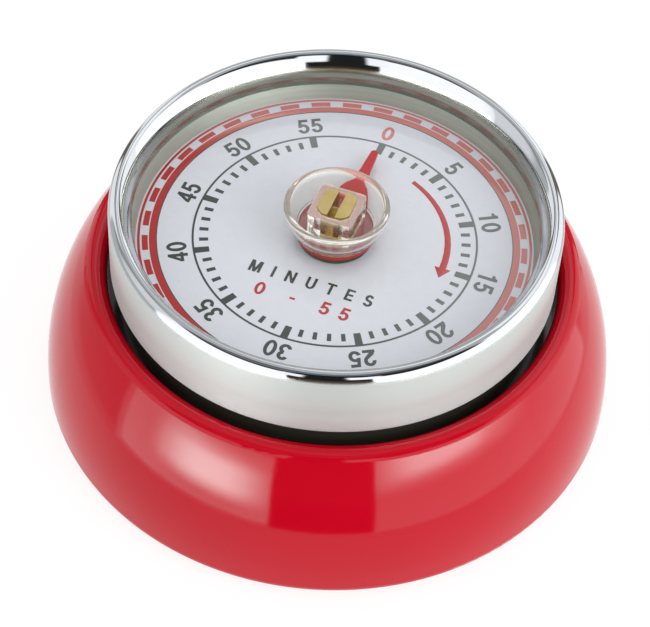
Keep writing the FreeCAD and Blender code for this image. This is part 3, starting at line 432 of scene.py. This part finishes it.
def bloomed(tree, place):
    """How strong the painted haze on the print is at each point of the dial, from 0 to 1."""
    offset = off_axis(tree, place, dial_axis)
    reach = add(tree, "ShaderNodeVectorMath", {0: offset}, operation="LENGTH")
    side = add(tree, "ShaderNodeVectorMath", {0: offset, 1: haze_way}, operation="DOT_PRODUCT")
    outer = add(tree, "ShaderNodeMapRange", {"Value": reach.outputs["Value"], "From Min": 12.6 * mm,
                                             "From Max": 16 * mm}, interpolation_type="SMOOTHSTEP")
    towards = add(tree, "ShaderNodeMapRange", {"Value": side.outputs["Value"], "From Min": -11.7 * mm,
                                               "From Max": 7 * mm}, interpolation_type="SMOOTHSTEP")
    return add(tree, "ShaderNodeMath", {0: outer.outputs[0], 1: towards.outputs[0]},
               operation="MULTIPLY").outputs[0]


def screen_ink(name, base, roughness, thick, thin, hazed, glossy, dull):
    """A film of ink, uneven in depth and shine from the mesh it was pressed through, with a painted haze on
    one side.
    """
    ink, tree, shader, place = start(name, base, roughness)
    mesh_mark = add(tree, "ShaderNodeTexNoise", {"Vector": place, "Scale": 4 / mm, "Detail": 2.0})
    shade = add(tree, "ShaderNodeMix", {0: mesh_mark.outputs["Fac"], 6: linear(thick), 7: linear(thin)},
                data_type="RGBA")
    # Painted haze: the ink turns paler where the reflected haze falls.
    shade = add(tree, "ShaderNodeMix", {0: bloomed(tree, place), 6: shade.outputs[2], 7: linear(hazed)},
                data_type="RGBA")
    shine = add(tree, "ShaderNodeMapRange", {"Value": mesh_mark.outputs["Fac"], "To Min": glossy,
                                             "To Max": dull})
    relief = add(tree, "ShaderNodeBump", {"Height": mesh_mark.outputs["Fac"], "Strength": 0.15,
                                          "Distance": 0.01 * mm})
    wire(shader, {"Base Color": shade.outputs[2], "Roughness": shine.outputs[0], "Normal": relief.outputs[0],
                  "Specular IOR Level": 0.0, "Coat Weight": 1.0, "Coat Roughness": 0.04, "Coat IOR": 1.5})
    return ink


# Dark screen ink: a soft grey-black, painted a paler grey on one side of the dial as a painted haze.
dark_ink = screen_ink("screen_ink_dark_grey", base="#4D524F", roughness=0.4, thick="#323734",
                      thin="#3F4441", hazed="#707572", glossy=0.3, dull=0.5)

# Sizes in mm: the radius where ticks start and the one where their width is measured, the
# width and the outer radius of each kind of tick, and the two radii of each fine ring.
tick_start = 15.03
tick_middle = 16
minute_tick = (0.5, 16.1)
five_minute_tick = (0.85, 16.85)
scale_line = (16.74, 16.98)
outline_ring = (21.08, 21.2)
ticks = []
for minute in range(56):
    width, end = minute_tick if minute % 5 else five_minute_tick
    spread = math.degrees(width / 2 / tick_middle)
    middle = degrees_a_minute * minute
    ticks.append(sector(tick_start, end, middle - spread, middle + spread))
printed("dial_minute_scale", whole(*scale_line) + ticks, dark_ink)
printed("dial_outline", whole(*outline_ring), dark_ink)


# Numerals
# Every fifth minute has its number outside the scale, with its top outwards, in a bold
# plain face. The 0 is red and the rest are dark grey.

# Red screen ink: a slightly glossier crimson, with the same mesh texture and the same painted haze.
red_ink = screen_ink("screen_ink_red", base="#BE484A", roughness=0.35, thick="#AC2021",
                     thin="#BA2D2E", hazed="#CC827D", glossy=0.25, dull=0.45)


def bowl(x, y, wide, high, begin, end, weight=0.19):
    """A curved stroke of a character 1 high: an arc of an oval, by its outer half-width and half-height."""
    turns = [math.radians(begin + (end - begin) * i / 16) for i in range(17)]
    level_weight = weight * 0.88
    out = [(x + wide * math.cos(t), y + high * math.sin(t)) for t in turns]
    back = [(x + (wide - weight) * math.cos(t), y + (high - level_weight) * math.sin(t))
            for t in reversed(turns)]
    return out + back


def bar(left, low, right, high):
    """A straight upright or level stroke of a character."""
    return [(left, low), (right, low), (right, high), (left, high)]


# Each character of the face: how far it moves the pen on, and its strokes, for a height of 1.
characters = {
    "0": (0.66, [bowl(0.33, 0.5, 0.32, 0.51, 0, 180), bowl(0.33, 0.5, 0.32, 0.51, 180, 360)]),
    "1": (0.66, [bar(0.27, 0, 0.46, 1), [(0.08, 0.7), (0.28, 0.7), (0.28, 0.84), (0.36, 1.0), (0.31, 1.0),
                                         (0.22, 0.87), (0.08, 0.83)]]),
    "2": (0.66, [bowl(0.33, 0.68, 0.31, 0.33, -38, 180), bar(0.02, 0, 0.64, 0.17),
                 [(0.02, 0.1), (0.24, 0.1), (0.58, 0.48), (0.43, 0.58), (0.1, 0.3)]]),
    "3": (0.66, [bowl(0.32, 0.73, 0.29, 0.28, -90, 165), bowl(0.32, 0.29, 0.32, 0.3, -165, 90)]),
    "4": (0.66, [bar(0.37, 0, 0.56, 1), bar(0.02, 0.22, 0.65, 0.38),
                 [(0.02, 0.36), (0.2, 0.36), (0.5, 0.84), (0.5, 1.0), (0.39, 1.0)]]),
    "5": (0.66, [bar(0.11, 0.83, 0.6, 1), [(0.05, 0.44), (0.22, 0.44), (0.28, 0.9), (0.11, 0.9)],
                 bowl(0.32, 0.33, 0.32, 0.34, -165, 146)]),
    "M": (0.9, [bar(0.04, 0, 0.22, 1), bar(0.68, 0, 0.86, 1), [(0.04, 1), (0.36, 0), (0.54, 0), (0.28, 1)],
                [(0.86, 1), (0.54, 0), (0.36, 0), (0.62, 1)]]),
    "I": (0.3, [bar(0.06, 0, 0.24, 1)]),
    "N": (0.78, [bar(0.05, 0, 0.23, 1), bar(0.55, 0, 0.73, 1),
                 [(0.05, 1), (0.25, 1), (0.73, 0), (0.53, 0)]]),
    "U": (0.76, [bar(0.05, 0.33, 0.23, 1), bar(0.53, 0.33, 0.71, 1),
                 bowl(0.38, 0.34, 0.33, 0.36, 180, 360, 0.18)]),
    "T": (0.66, [bar(0.24, 0, 0.42, 1), bar(0.01, 0.84, 0.65, 1)]),
    "E": (0.66, [bar(0.06, 0, 0.24, 1), bar(0.06, 0.84, 0.62, 1), bar(0.06, 0.42, 0.58, 0.57),
                 bar(0.06, 0, 0.62, 0.16)]),
    "S": (0.68, [bowl(0.33, 0.72, 0.28, 0.3, 20, 270), bowl(0.33, 0.29, 0.31, 0.3, -165, 90)]),
    "-": (0.5, [bar(0.08, 0.4, 0.42, 0.55)]),
    " ": (0.34, []),
}


def written(text, high, spacing, across, up, x, y):
    """Outlines of a line of text centred on a point, with the directions of its width and of its tops."""
    lengths = [characters[c][0] for c in text]
    line = sum(lengths) + spacing * (len(text) - 1)
    outlines, begin = [], -line / 2
    for character, length in zip(text, lengths):
        for stroke in characters[character][1]:
            outlines.append([(x + high * ((begin + u) * across[0] + (v - 0.5) * up[0]),
                              y + high * ((begin + u) * across[1] + (v - 0.5) * up[1])) for u, v in stroke])
        begin += length + spacing
    return outlines


# The height and the radius are in mm. The gap is a share of the height, and the narrowing a
# share of each character's width.
numeral_height = 2.35
numeral_radius = 18.8
numeral_gap = 0.07
numeral_narrowing = 0.97
numbers = []
for minute in range(0, 56, 5):
    turn = degrees_a_minute * minute
    outlines = written(str(minute), numeral_height, numeral_gap, on_dial(numeral_narrowing, turn + 90),
                       on_dial(1, turn), *on_dial(numeral_radius, turn))
    if minute:
        numbers += outlines
    else:
        printed("dial_zero", outlines, red_ink)
printed("dial_numerals", numbers, dark_ink)


# Red border, arrow and wording
# A red band with a row of dashes runs round the edge of the dial. A curved red arrow
# shows which way to turn the knob, and two plain lines of text give the unit and range.

# The inner and outer radius of each ring of the border, in mm, and a dash's length in degrees.
red_band = (21.2, 22.0)
dash_row = (22.15, 22.85)
outer_line = (23.1, 23.4)
dash_length = 6
dashes = [sector(*dash_row, turn, turn + dash_length) for turn in range(2, 360, 10)]
printed("dial_red_border", whole(*red_band) + dashes + whole(*outer_line), red_ink)

# The arrow's shaft is an arc that widens towards its head, which is a plain triangle. Widths
# and radii are in mm, and places round the dial in minutes.
arrow_radius = 13.4
shaft_begin = 4.1
shaft_end = 14.95
shaft_half_width = 0.27
shaft_widening = 0.14
shaft_steps = 12
shaft_outer = []
shaft_inner = []
for i in range(shaft_steps + 1):
    done = i / shaft_steps
    turn = degrees_a_minute * (shaft_begin + (shaft_end - shaft_begin) * done)
    half_width = shaft_half_width + shaft_widening * done
    shaft_outer.append(on_dial(arrow_radius + half_width, turn))
    shaft_inner.append(on_dial(arrow_radius - half_width, turn))

# Each corner of the head: how far outside the shaft's arc it lies, and its minute.
head_corners = [(1.0, 14.85), (0.1, 15.95), (-0.98, 14.85)]
head = [on_dial(arrow_radius + beyond, degrees_a_minute * minute) for beyond, minute in head_corners]
printed("dial_arrow", [shaft_outer + shaft_inner[::-1], head], red_ink)

unit_text = written("MINUTES", high=1.75, spacing=0.68, across=(1, 0), up=(0, 1), x=0, y=-7.9)
printed("dial_unit_text", unit_text, dark_ink)
range_text = written("0 - 55", high=1.9, spacing=0.6, across=(1, 0), up=(0, 1), x=0, y=-10.9)
printed("dial_range_text", range_text, red_ink)


# Well ring
# A steel ring lines the recess between the dial and the bezel. It is turned inside and
# left satin, so it catches the light in close rings.

# Satin turned steel: grey metal with fine level rings, brighter and duller by turns.
satin, tree, shader, place = start("satin_turned_steel", "#9FA69C", 0.5, metallic=0.7)
along = add(tree, "ShaderNodeVectorMath", {0: place, 1: (0.035 / mm, 0.035 / mm, 5.2 / mm)},
            operation="MULTIPLY")
rings = add(tree, "ShaderNodeTexNoise", {"Vector": along.outputs[0], "Scale": 1.0, "Detail": 3.0})
shade = add(tree, "ShaderNodeMix", {0: rings.outputs["Fac"], 6: linear("#9BA397"), 7: linear("#C2C8BE")},
            data_type="RGBA")
shine = add(tree, "ShaderNodeMapRange", {"Value": rings.outputs["Fac"], "To Min": 0.4, "To Max": 0.6})
relief = add(tree, "ShaderNodeBump", {"Height": rings.outputs["Fac"], "Strength": 0.3,
                                      "Distance": 0.03 * mm})
wire(shader, {"Base Color": shade.outputs[2], "Roughness": shine.outputs[0], "Normal": relief.outputs[0]})
finish(satin, "dial_well_ring")


# Bezel
# The bezel is a deep brass ring with a rolled-over rim. Its rim is buffed and its wall is
# brushed round, and then the whole ring is plated with nickel and chrome.

lowest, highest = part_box("bezel")
bezel_axis = (lowest + highest) / 2
outside = (highest.x - lowest.x) / 2


def on_arc(centre, reach, angle):
    """A point (r, z) at an angle on an arc of a section, in mm."""
    turn = math.radians(angle)
    return (centre[0] + reach * math.cos(turn), centre[1] + reach * math.sin(turn))


# Above the straight wall the section is four arcs, each tangent to the next: shoulder, crest,
# slope and curl. Each has its radius and the angles where it starts and ends.
arcs = [(1.5, 0.0, 55.0), (0.72, 55.0, 138.0), (5.4, 138.0, 157.7), (2.55, 157.7, 220.0)]
arc_step = 0.07
wall_thickness = 1.0
foot_radius = 0.3
steps_round = 288
outside_mm = outside / mm
low_mm = lowest.z / mm
centre = (outside_mm - arcs[0][0], 0.0)
rim = [on_arc(centre, arcs[0][0], arcs[0][1])]
for i, (reach, begin, end) in enumerate(arcs):
    if i:
        centre = on_arc(centre, arcs[i - 1][0] - reach, begin)
    steps = max(6, math.ceil(reach * math.radians(end - begin) / arc_step))
    rim += [on_arc(centre, reach, begin + (end - begin) * k / steps) for k in range(1, steps + 1)]
lift = highest.z / mm - max(z for _, z in rim)
rim = [(r, z + lift) for r, z in rim]
inner = outside_mm - wall_thickness
foot = (outside_mm - foot_radius, low_mm + foot_radius)
section = [(inner, low_mm), (foot[0], low_mm)]
section += [on_arc(foot, foot_radius, 15 * k - 90) for k in range(1, 7)] + rim + [(inner, rim[-1][1])]
count = len(section)
rows, faces = [], []
for k in range(steps_round):
    turn = 2 * math.pi * k / steps_round
    rows += [(bezel_axis.x + r * mm * math.cos(turn), bezel_axis.y + r * mm * math.sin(turn), z * mm)
             for r, z in section]
    here = k * count
    there = (k + 1) % steps_round * count
    faces += [(here + i, there + i, there + (i + 1) % count, here + (i + 1) % count) for i in range(count)]
mesh = bpy.data.meshes.new("bezel_ring")
mesh.from_pydata(rows, [], faces)
mesh.shade_smooth()
mesh.set_sharp_from_angle(angle=math.radians(35))
bezel_ring = bpy.data.objects.new("bezel_ring", mesh)
bpy.context.scene.collection.objects.link(bezel_ring)
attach(bezel_ring, "case")
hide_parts("bezel")

# Chrome plate: a cool mirror on the rim, wavy from the buffing wheel, and duller inside the
# curl, where the wheel can't reach; its darker grey-green colour there is painted shade. The wall
# below has fine lines round it, which smear what it reflects up and down into one even grey,
# and its colour is painted paler towards the foot as painted light.
chrome, tree, shader, place = start("buffed_and_brushed_chrome_plate", "#CBCDD0", 0.04, metallic=1.0)
radius = add(tree, "ShaderNodeVectorMath", {0: off_axis(tree, place, bezel_axis)}, operation="LENGTH")
wall = add(tree, "ShaderNodeMapRange", {"Value": radius.outputs["Value"], "From Min": outside - 0.15 * mm,
                                        "From Max": outside - 0.02 * mm})
wave = add(tree, "ShaderNodeTexNoise", {"Vector": place, "Scale": 0.26 / mm, "Detail": 2.0})
haze = add(tree, "ShaderNodeTexNoise", {"Vector": place, "Scale": 1.4 / mm, "Detail": 4.0})
along = add(tree, "ShaderNodeVectorMath", {0: place, 1: (0.06 / mm, 0.06 / mm, 5 / mm)},
            operation="MULTIPLY")
brushing = add(tree, "ShaderNodeTexNoise", {"Vector": along.outputs[0], "Scale": 1.0, "Detail": 3.0})
shade = add(tree, "ShaderNodeMix", {0: haze.outputs["Fac"], 6: linear("#C7C9CC"), 7: linear("#CFD1D4")},
            data_type="RGBA")
inside = add(tree, "ShaderNodeMapRange", {"Value": radius.outputs["Value"], "From Min": outside - 2.6 * mm,
                                          "From Max": outside - 2.4 * mm, "To Min": 1.0, "To Max": 0.0})
# Painted shade: the colour inside the curl is a darker grey-green.
shade = add(tree, "ShaderNodeMix", {0: inside.outputs[0], 6: shade.outputs[2], 7: linear("#A4A79B")},
            data_type="RGBA")
level = add(tree, "ShaderNodeSeparateXYZ", {0: place})
# Painted light: the wall's colour grows paler towards the foot.
painted_light_fade = add(tree, "ShaderNodeMapRange", {"Value": level.outputs["Z"], "From Min": lowest.z,
                                            "From Max": lowest.z + 3.5 * mm})
painted_light_colour = add(tree, "ShaderNodeMix", {0: painted_light_fade.outputs[0], 6: linear("#ECFFFD"), 7: linear("#C8CECB")},
           data_type="RGBA")
shade = add(tree, "ShaderNodeMix", {0: wall.outputs[0], 6: shade.outputs[2], 7: painted_light_colour.outputs[2]},
            data_type="RGBA")
buffed = add(tree, "ShaderNodeMapRange", {"Value": haze.outputs["Fac"], "To Min": 0.02, "To Max": 0.08})
brushed = add(tree, "ShaderNodeMapRange", {"Value": brushing.outputs["Fac"], "To Min": 0.26, "To Max": 0.38})
shine = add(tree, "ShaderNodeMix", {0: inside.outputs[0], 2: buffed.outputs[0], 3: 0.25})
shine = add(tree, "ShaderNodeMix", {0: wall.outputs[0], 2: shine.outputs[0], 3: brushed.outputs[0]})
smear = add(tree, "ShaderNodeMath", {0: wall.outputs[0], 1: 0.7}, operation="MULTIPLY")
bare = add(tree, "ShaderNodeMapRange", {"Value": wall.outputs[0], "To Min": 1.0, "To Max": 0.5})
around_axis = add(tree, "ShaderNodeTangent", {}, direction_type="RADIAL", axis="Z")
relief = add(tree, "ShaderNodeBump", {"Height": wave.outputs["Fac"], "Strength": 0.12,
                                      "Distance": 0.04 * mm})
wire(shader, {"Base Color": shade.outputs[2], "Roughness": shine.outputs[0], "Normal": relief.outputs[0],
              "Metallic": bare.outputs[0], "Anisotropic": smear.outputs[0], "Anisotropic Rotation": 0.25,
              "Tangent": around_axis.outputs[0]})
finish(chrome, "bezel")
mesh.materials.append(chrome)


# Pointer
# The pointer turns with the knob. It is stamped from thin brass, and sprayed with a red
# that goes with the case.

# Sprayed paint: a crimson film with a light texture, rounded off at the stamped edges.
paint, tree, shader, place = start("sprayed_red_pointer_paint", "#B8222B", 0.22)
film_mark = add(tree, "ShaderNodeTexNoise", {"Vector": place, "Scale": 1.5 / mm, "Detail": 3.0})
shade = add(tree, "ShaderNodeMix", {0: film_mark.outputs["Fac"], 6: linear("#AE1C26"), 7: linear("#C22A32")},
            data_type="RGBA")
shine = add(tree, "ShaderNodeMapRange", {"Value": film_mark.outputs["Fac"], "To Min": 0.15, "To Max": 0.3})
relief = add(tree, "ShaderNodeBump", {"Height": film_mark.outputs["Fac"], "Strength": 0.15,
                                      "Distance": 0.03 * mm})
wire(shader, {"Base Color": shade.outputs[2], "Roughness": shine.outputs[0], "Normal": relief.outputs[0]})
finish(paint, "pointer")


# Knob
# The winding knob is a hollow cup moulded in clear acrylic, with a square boss inside
# that grips the shaft. The shaft and the pointer's red hub show through it.

# Clear acrylic: refracting plastic with a faint warm tint and slow moulding ripples. Its top
# edges have a faint painted glow, an emission that stands in for the light they catch.
acrylic, tree, shader, place = start("moulded_clear_acrylic", "#FFFDF8", 0.05, ior=1.49)
ripple = add(tree, "ShaderNodeTexNoise", {"Vector": place, "Scale": 0.5 / mm, "Detail": 2.0})
shine = add(tree, "ShaderNodeMapRange", {"Value": ripple.outputs["Fac"], "To Min": 0.01, "To Max": 0.05})
relief = add(tree, "ShaderNodeBump", {"Height": ripple.outputs["Fac"], "Strength": 0.15,
                                      "Distance": 0.05 * mm})
level = add(tree, "ShaderNodeSeparateXYZ", {0: place})
knob_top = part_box("knob")[1].z
# Painted light: an emission that rises towards the top edge of the knob.
painted_edge_glow = add(tree, "ShaderNodeMapRange", {"Value": level.outputs["Z"], "From Min": knob_top - 0.9 * mm,
                                        "From Max": knob_top - 0.1 * mm, "To Max": 0.3})
wire(shader, {"Transmission Weight": 0.985, "Roughness": shine.outputs[0], "Normal": relief.outputs[0],
              "Emission Color": linear("#F2EEDF"), "Emission Strength": painted_edge_glow.outputs[0]})
finish(acrylic, "knob")


# Floor
# The timer stands on a sheet of white card. Bright metal and enamel mirror the card only
# close to the timer, as the studio beyond it is darker.

# White card: a matt, slightly fibrous white that still takes the timer's soft shadow.
card, tree, shader, place = start("white_card", "#7D7D7D", 0.8)
fibre = add(tree, "ShaderNodeTexNoise", {"Vector": place, "Scale": 0.9 / mm, "Detail": 5.0})
shade = add(tree, "ShaderNodeMix", {0: fibre.outputs["Fac"], 6: linear("#7A7A7A"), 7: linear("#808080")},
            data_type="RGBA")
wire(shader, {"Base Color": shade.outputs[2], "Emission Color": (1.0, 1.0, 1.0, 1.0),
              "Emission Strength": 0.84, "Specular IOR Level": 0.0})
near_radius = 0.06
far_radius = 2.0
sides = 120
ring = [(math.cos(2 * math.pi * i / sides), math.sin(2 * math.pi * i / sides)) for i in range(sides)]
for name, inner, outer in (("floor_near", 0.0, near_radius), ("floor_far", near_radius, far_radius)):
    rows = [(outer * x, outer * y, 0.0) for x, y in ring]
    faces = [tuple(range(sides))]
    if inner:
        rows += [(inner * x, inner * y, 0.0) for x, y in ring]
        faces = [(i, (i + 1) % sides, sides + (i + 1) % sides, sides + i) for i in range(sides)]
    mesh = bpy.data.meshes.new(name)
    mesh.from_pydata(rows, [], faces)
    mesh.materials.append(card)
    floor = bpy.data.objects.new(name, mesh)
    floor.location.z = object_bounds()[0].z - 0.05 * mm
    floor.visible_glossy = not inner
    bpy.context.scene.collection.objects.link(floor)
    floor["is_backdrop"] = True


# Studio
# The room lights everything evenly and the background is plain white. Mirrors see more:
# two softboxes either side of the viewer, the dark gap between them, and the ceiling.

world = bpy.data.worlds.new("studio")
bpy.context.scene.world = world
world.use_nodes = True
tree = world.node_tree
tree.nodes.clear()

# The camera stands in front of the timer, turned this far to the right. Angles round the
# timer start at the camera, and those to its right are positive.
viewed_from = math.radians(17.97)
viewer = viewed_from - math.pi / 2
way = add(tree, "ShaderNodeTexCoord", {}).outputs["Generated"]
ahead = add(tree, "ShaderNodeVectorMath", {0: way, 1: (math.cos(viewer), math.sin(viewer), 0.0)},
            operation="DOT_PRODUCT")
aside = add(tree, "ShaderNodeVectorMath", {0: way, 1: (-math.sin(viewer), math.cos(viewer), 0.0)},
            operation="DOT_PRODUCT")
round_angle = add(tree, "ShaderNodeMath", {0: aside.outputs["Value"], 1: ahead.outputs["Value"]},
                  operation="ARCTAN2")
around = add(tree, "ShaderNodeMath", {0: round_angle.outputs[0]}, operation="DEGREES").outputs[0]
height = add(tree, "ShaderNodeSeparateXYZ", {0: way})
height_angle = add(tree, "ShaderNodeMath", {0: height.outputs["Z"]}, operation="ARCSINE")
above = add(tree, "ShaderNodeMath", {0: height_angle.outputs[0]}, operation="DEGREES").outputs[0]


def band(value, low, high, soft):
    """1 where a value lies between two limits, falling smoothly to 0 over a distance past each."""
    rise = add(tree, "ShaderNodeMapRange", {"Value": value, "From Min": low - soft, "From Max": low},
               interpolation_type="SMOOTHSTEP")
    fall = add(tree, "ShaderNodeMapRange", {"Value": value, "From Min": high, "From Max": high + soft,
                                            "To Min": 1.0, "To Max": 0.0}, interpolation_type="SMOOTHSTEP")
    return add(tree, "ShaderNodeMath", {0: rise.outputs[0], 1: fall.outputs[0]},
               operation="MULTIPLY").outputs[0]


# What mirrors see is painted patch over patch on a plain grey. Each patch has its reach round
# the viewer, from left to right, and its softness, its reach in height and its softness, how
# strongly it covers what is behind it, and its colour. Angles are in degrees.
patches = [
    # The floor all round, and the dim wall at the far left.
    (-400, 400, 1, -90, -21, 3, 1.0, (0.85, 0.87, 0.87)),
    (-125, -104, 8, 18, 52, 8, 0.7, (0.3, 0.3, 0.3)),
    # The right softbox: its cloth, the brighter lower part and the lamp behind that.
    (20, 118, 3, -21, 42, 3, 1.0, (1.7, 1.7, 1.74)),
    (20, 80, 3, -21, 9, 2, 1.0, (1.9, 1.9, 1.9)),
    (28, 68, 20, 3, 12, 9, 0.8, (5.6, 5.6, 5.6)),
    (38, 56, 18, 6, 11, 7, 1.0, (13.0, 13.0, 13.0)),
    # The left softbox: its cloth, the brighter lower part and the lamp behind that.
    (-78, -17, 2, -21, 40, 3, 1.0, (1.6, 1.6, 1.65)),
    (-75, -16, 2, -20, 9, 1, 1.0, (3.2, 3.1, 3.1)),
    (-43, -36, 23, -7, -1, 10, 1.0, (19.0, 18.2, 17.8)),
    # The dark ceiling over the left softbox, over the right one and over both.
    (-75, -16, 6, 41, 50, 3, 1.0, (0.04, 0.04, 0.03)),
    (16, 75, 8, 37, 58, 3, 1.0, (0.03, 0.03, 0.03)),
    (-80, 80, 10, 56, 74, 5, 0.85, (0.1, 0.1, 0.1)),
    # The dark gap between the softboxes, with its warm foot and the blue light above it.
    (-16, 19, 1.5, -21, 56, 2, 1.0, (0.02, 0.02, 0.02)),
    (-14, 17, 4, -5, 8, 6, 0.6, (0.16, 0.11, 0.05)),
    (-14, 26, 6, 58, 66, 5, 0.8, (0.2, 0.3, 0.42)),
    # The pale walls behind the timer, each with a dark corner.
    (118, 160, 3, -12, 38, 4, 1.0, (1.4, 1.42, 1.44)),
    (-160, -125, 3, -12, 38, 4, 1.0, (1.2, 1.22, 1.24)),
    (142, 149, 3, -25, 40, 8, 0.9, (0.08, 0.05, 0.02)),
    (-150, -144, 3, -25, 40, 8, 0.9, (0.08, 0.05, 0.02)),
    # The fading outer end of the left softbox, and the sloping inner edge of each softbox.
    (-102, -80, 10, 8, 38, 8, 0.6, (1.25, 1.25, 1.28)),
    (-20, -12, 3, 24, 40, 4, 1.0, (1.5, 1.5, 1.55)),
    (11, 24, 3, 26, 40, 4, 1.0, (1.6, 1.6, 1.64)),
    # The pale ceiling on the far side, in two rows as angles round the viewer end at 180.
    (130, 230, 6, 44, 58, 1, 1.0, (1.4, 1.43, 1.47)),
    (-230, -180, 8, 44, 58, 1, 1.0, (1.4, 1.43, 1.47)),
]
seen = (0.62, 0.64, 0.64, 1.0)
for left, right, side_soft, low, high, soft, cover, colour in patches:
    mask = add(tree, "ShaderNodeMath", {0: band(around, left, right, side_soft),
                                        1: band(above, low, high, soft)}, operation="MULTIPLY")
    part = add(tree, "ShaderNodeMath", {0: mask.outputs[0], 1: cover}, operation="MULTIPLY")
    seen = add(tree, "ShaderNodeMix", {0: part.outputs[0], 6: seen, 7: (*colour, 1.0)},
               data_type="RGBA").outputs[2]

# Only a mirror sees the patches, straight or by way of another mirror. Matt surfaces and all
# that is seen through the clear knob get an even white, and the camera sees pure white.
path = add(tree, "ShaderNodeLightPath", {})
bounces = add(tree, "ShaderNodeMath", {0: path.outputs["Diffuse Depth"],
                                       1: path.outputs["Transmission Depth"]})
direct = add(tree, "ShaderNodeMath", {0: bounces.outputs[0], 1: 0.5}, operation="LESS_THAN")
painted = add(tree, "ShaderNodeMath", {0: path.outputs["Is Glossy Ray"], 1: direct.outputs[0]},
              operation="MULTIPLY")
plain = add(tree, "ShaderNodeBackground", {"Color": (1.0, 1.0, 1.0, 1.0), "Strength": 0.9})
studio = add(tree, "ShaderNodeBackground", {"Color": seen, "Strength": 1.0})
white = add(tree, "ShaderNodeBackground", {"Color": (1.0, 1.0, 1.0, 1.0), "Strength": 1.0})
lit = add(tree, "ShaderNodeMixShader", {0: painted.outputs[0], 1: plain.outputs[0], 2: studio.outputs[0]})
shown = add(tree, "ShaderNodeMixShader", {0: path.outputs["Is Camera Ray"], 1: lit.outputs[0],
                                          2: white.outputs[0]})
add(tree, "ShaderNodeOutputWorld", {"Surface": shown.outputs[0]})

# One large lamp to the right of the viewer gives the case its slightly brighter side.
lamp = bpy.data.lights.new("right_softbox", "AREA")
lamp.shape = "SQUARE"
lamp.size = 0.6
lamp.energy = 2.5
lamp_distance = 0.8
lamp_height = 0.5
turn = viewer + math.radians(55)
softbox = bpy.data.objects.new("right_softbox", lamp)
softbox.location = (lamp_distance * math.cos(turn), lamp_distance * math.sin(turn), lamp_height)
softbox.rotation_euler = (-Vector(softbox.location)).to_track_quat("-Z", "Y").to_euler()
softbox.visible_glossy = False
softbox.visible_transmission = False
bpy.context.scene.collection.objects.link(softbox)


# Camera
# A long lens looks down on the timer from the front, with the dial's 0 turned a little
# to the right.

lens = bpy.data.cameras.new("camera")
lens.sensor_width = 36.0
lens.lens = 121.85
camera = bpy.data.objects.new("camera", lens)
tilt = math.radians(40.63)
roll = math.radians(3.568)
standpoint = (0.05396, -0.16838, 0.21587)
turned_by = (Matrix.Rotation(viewed_from, 4, "Z") @ Matrix.Rotation(tilt, 4, "X")
             @ Matrix.Rotation(roll, 4, "Z"))
camera.matrix_world = Matrix.Translation(standpoint) @ turned_by
bpy.context.scene.collection.objects.link(camera)
bpy.context.scene.camera = camera
bpy.context.scene.view_settings.view_transform = "Standard"
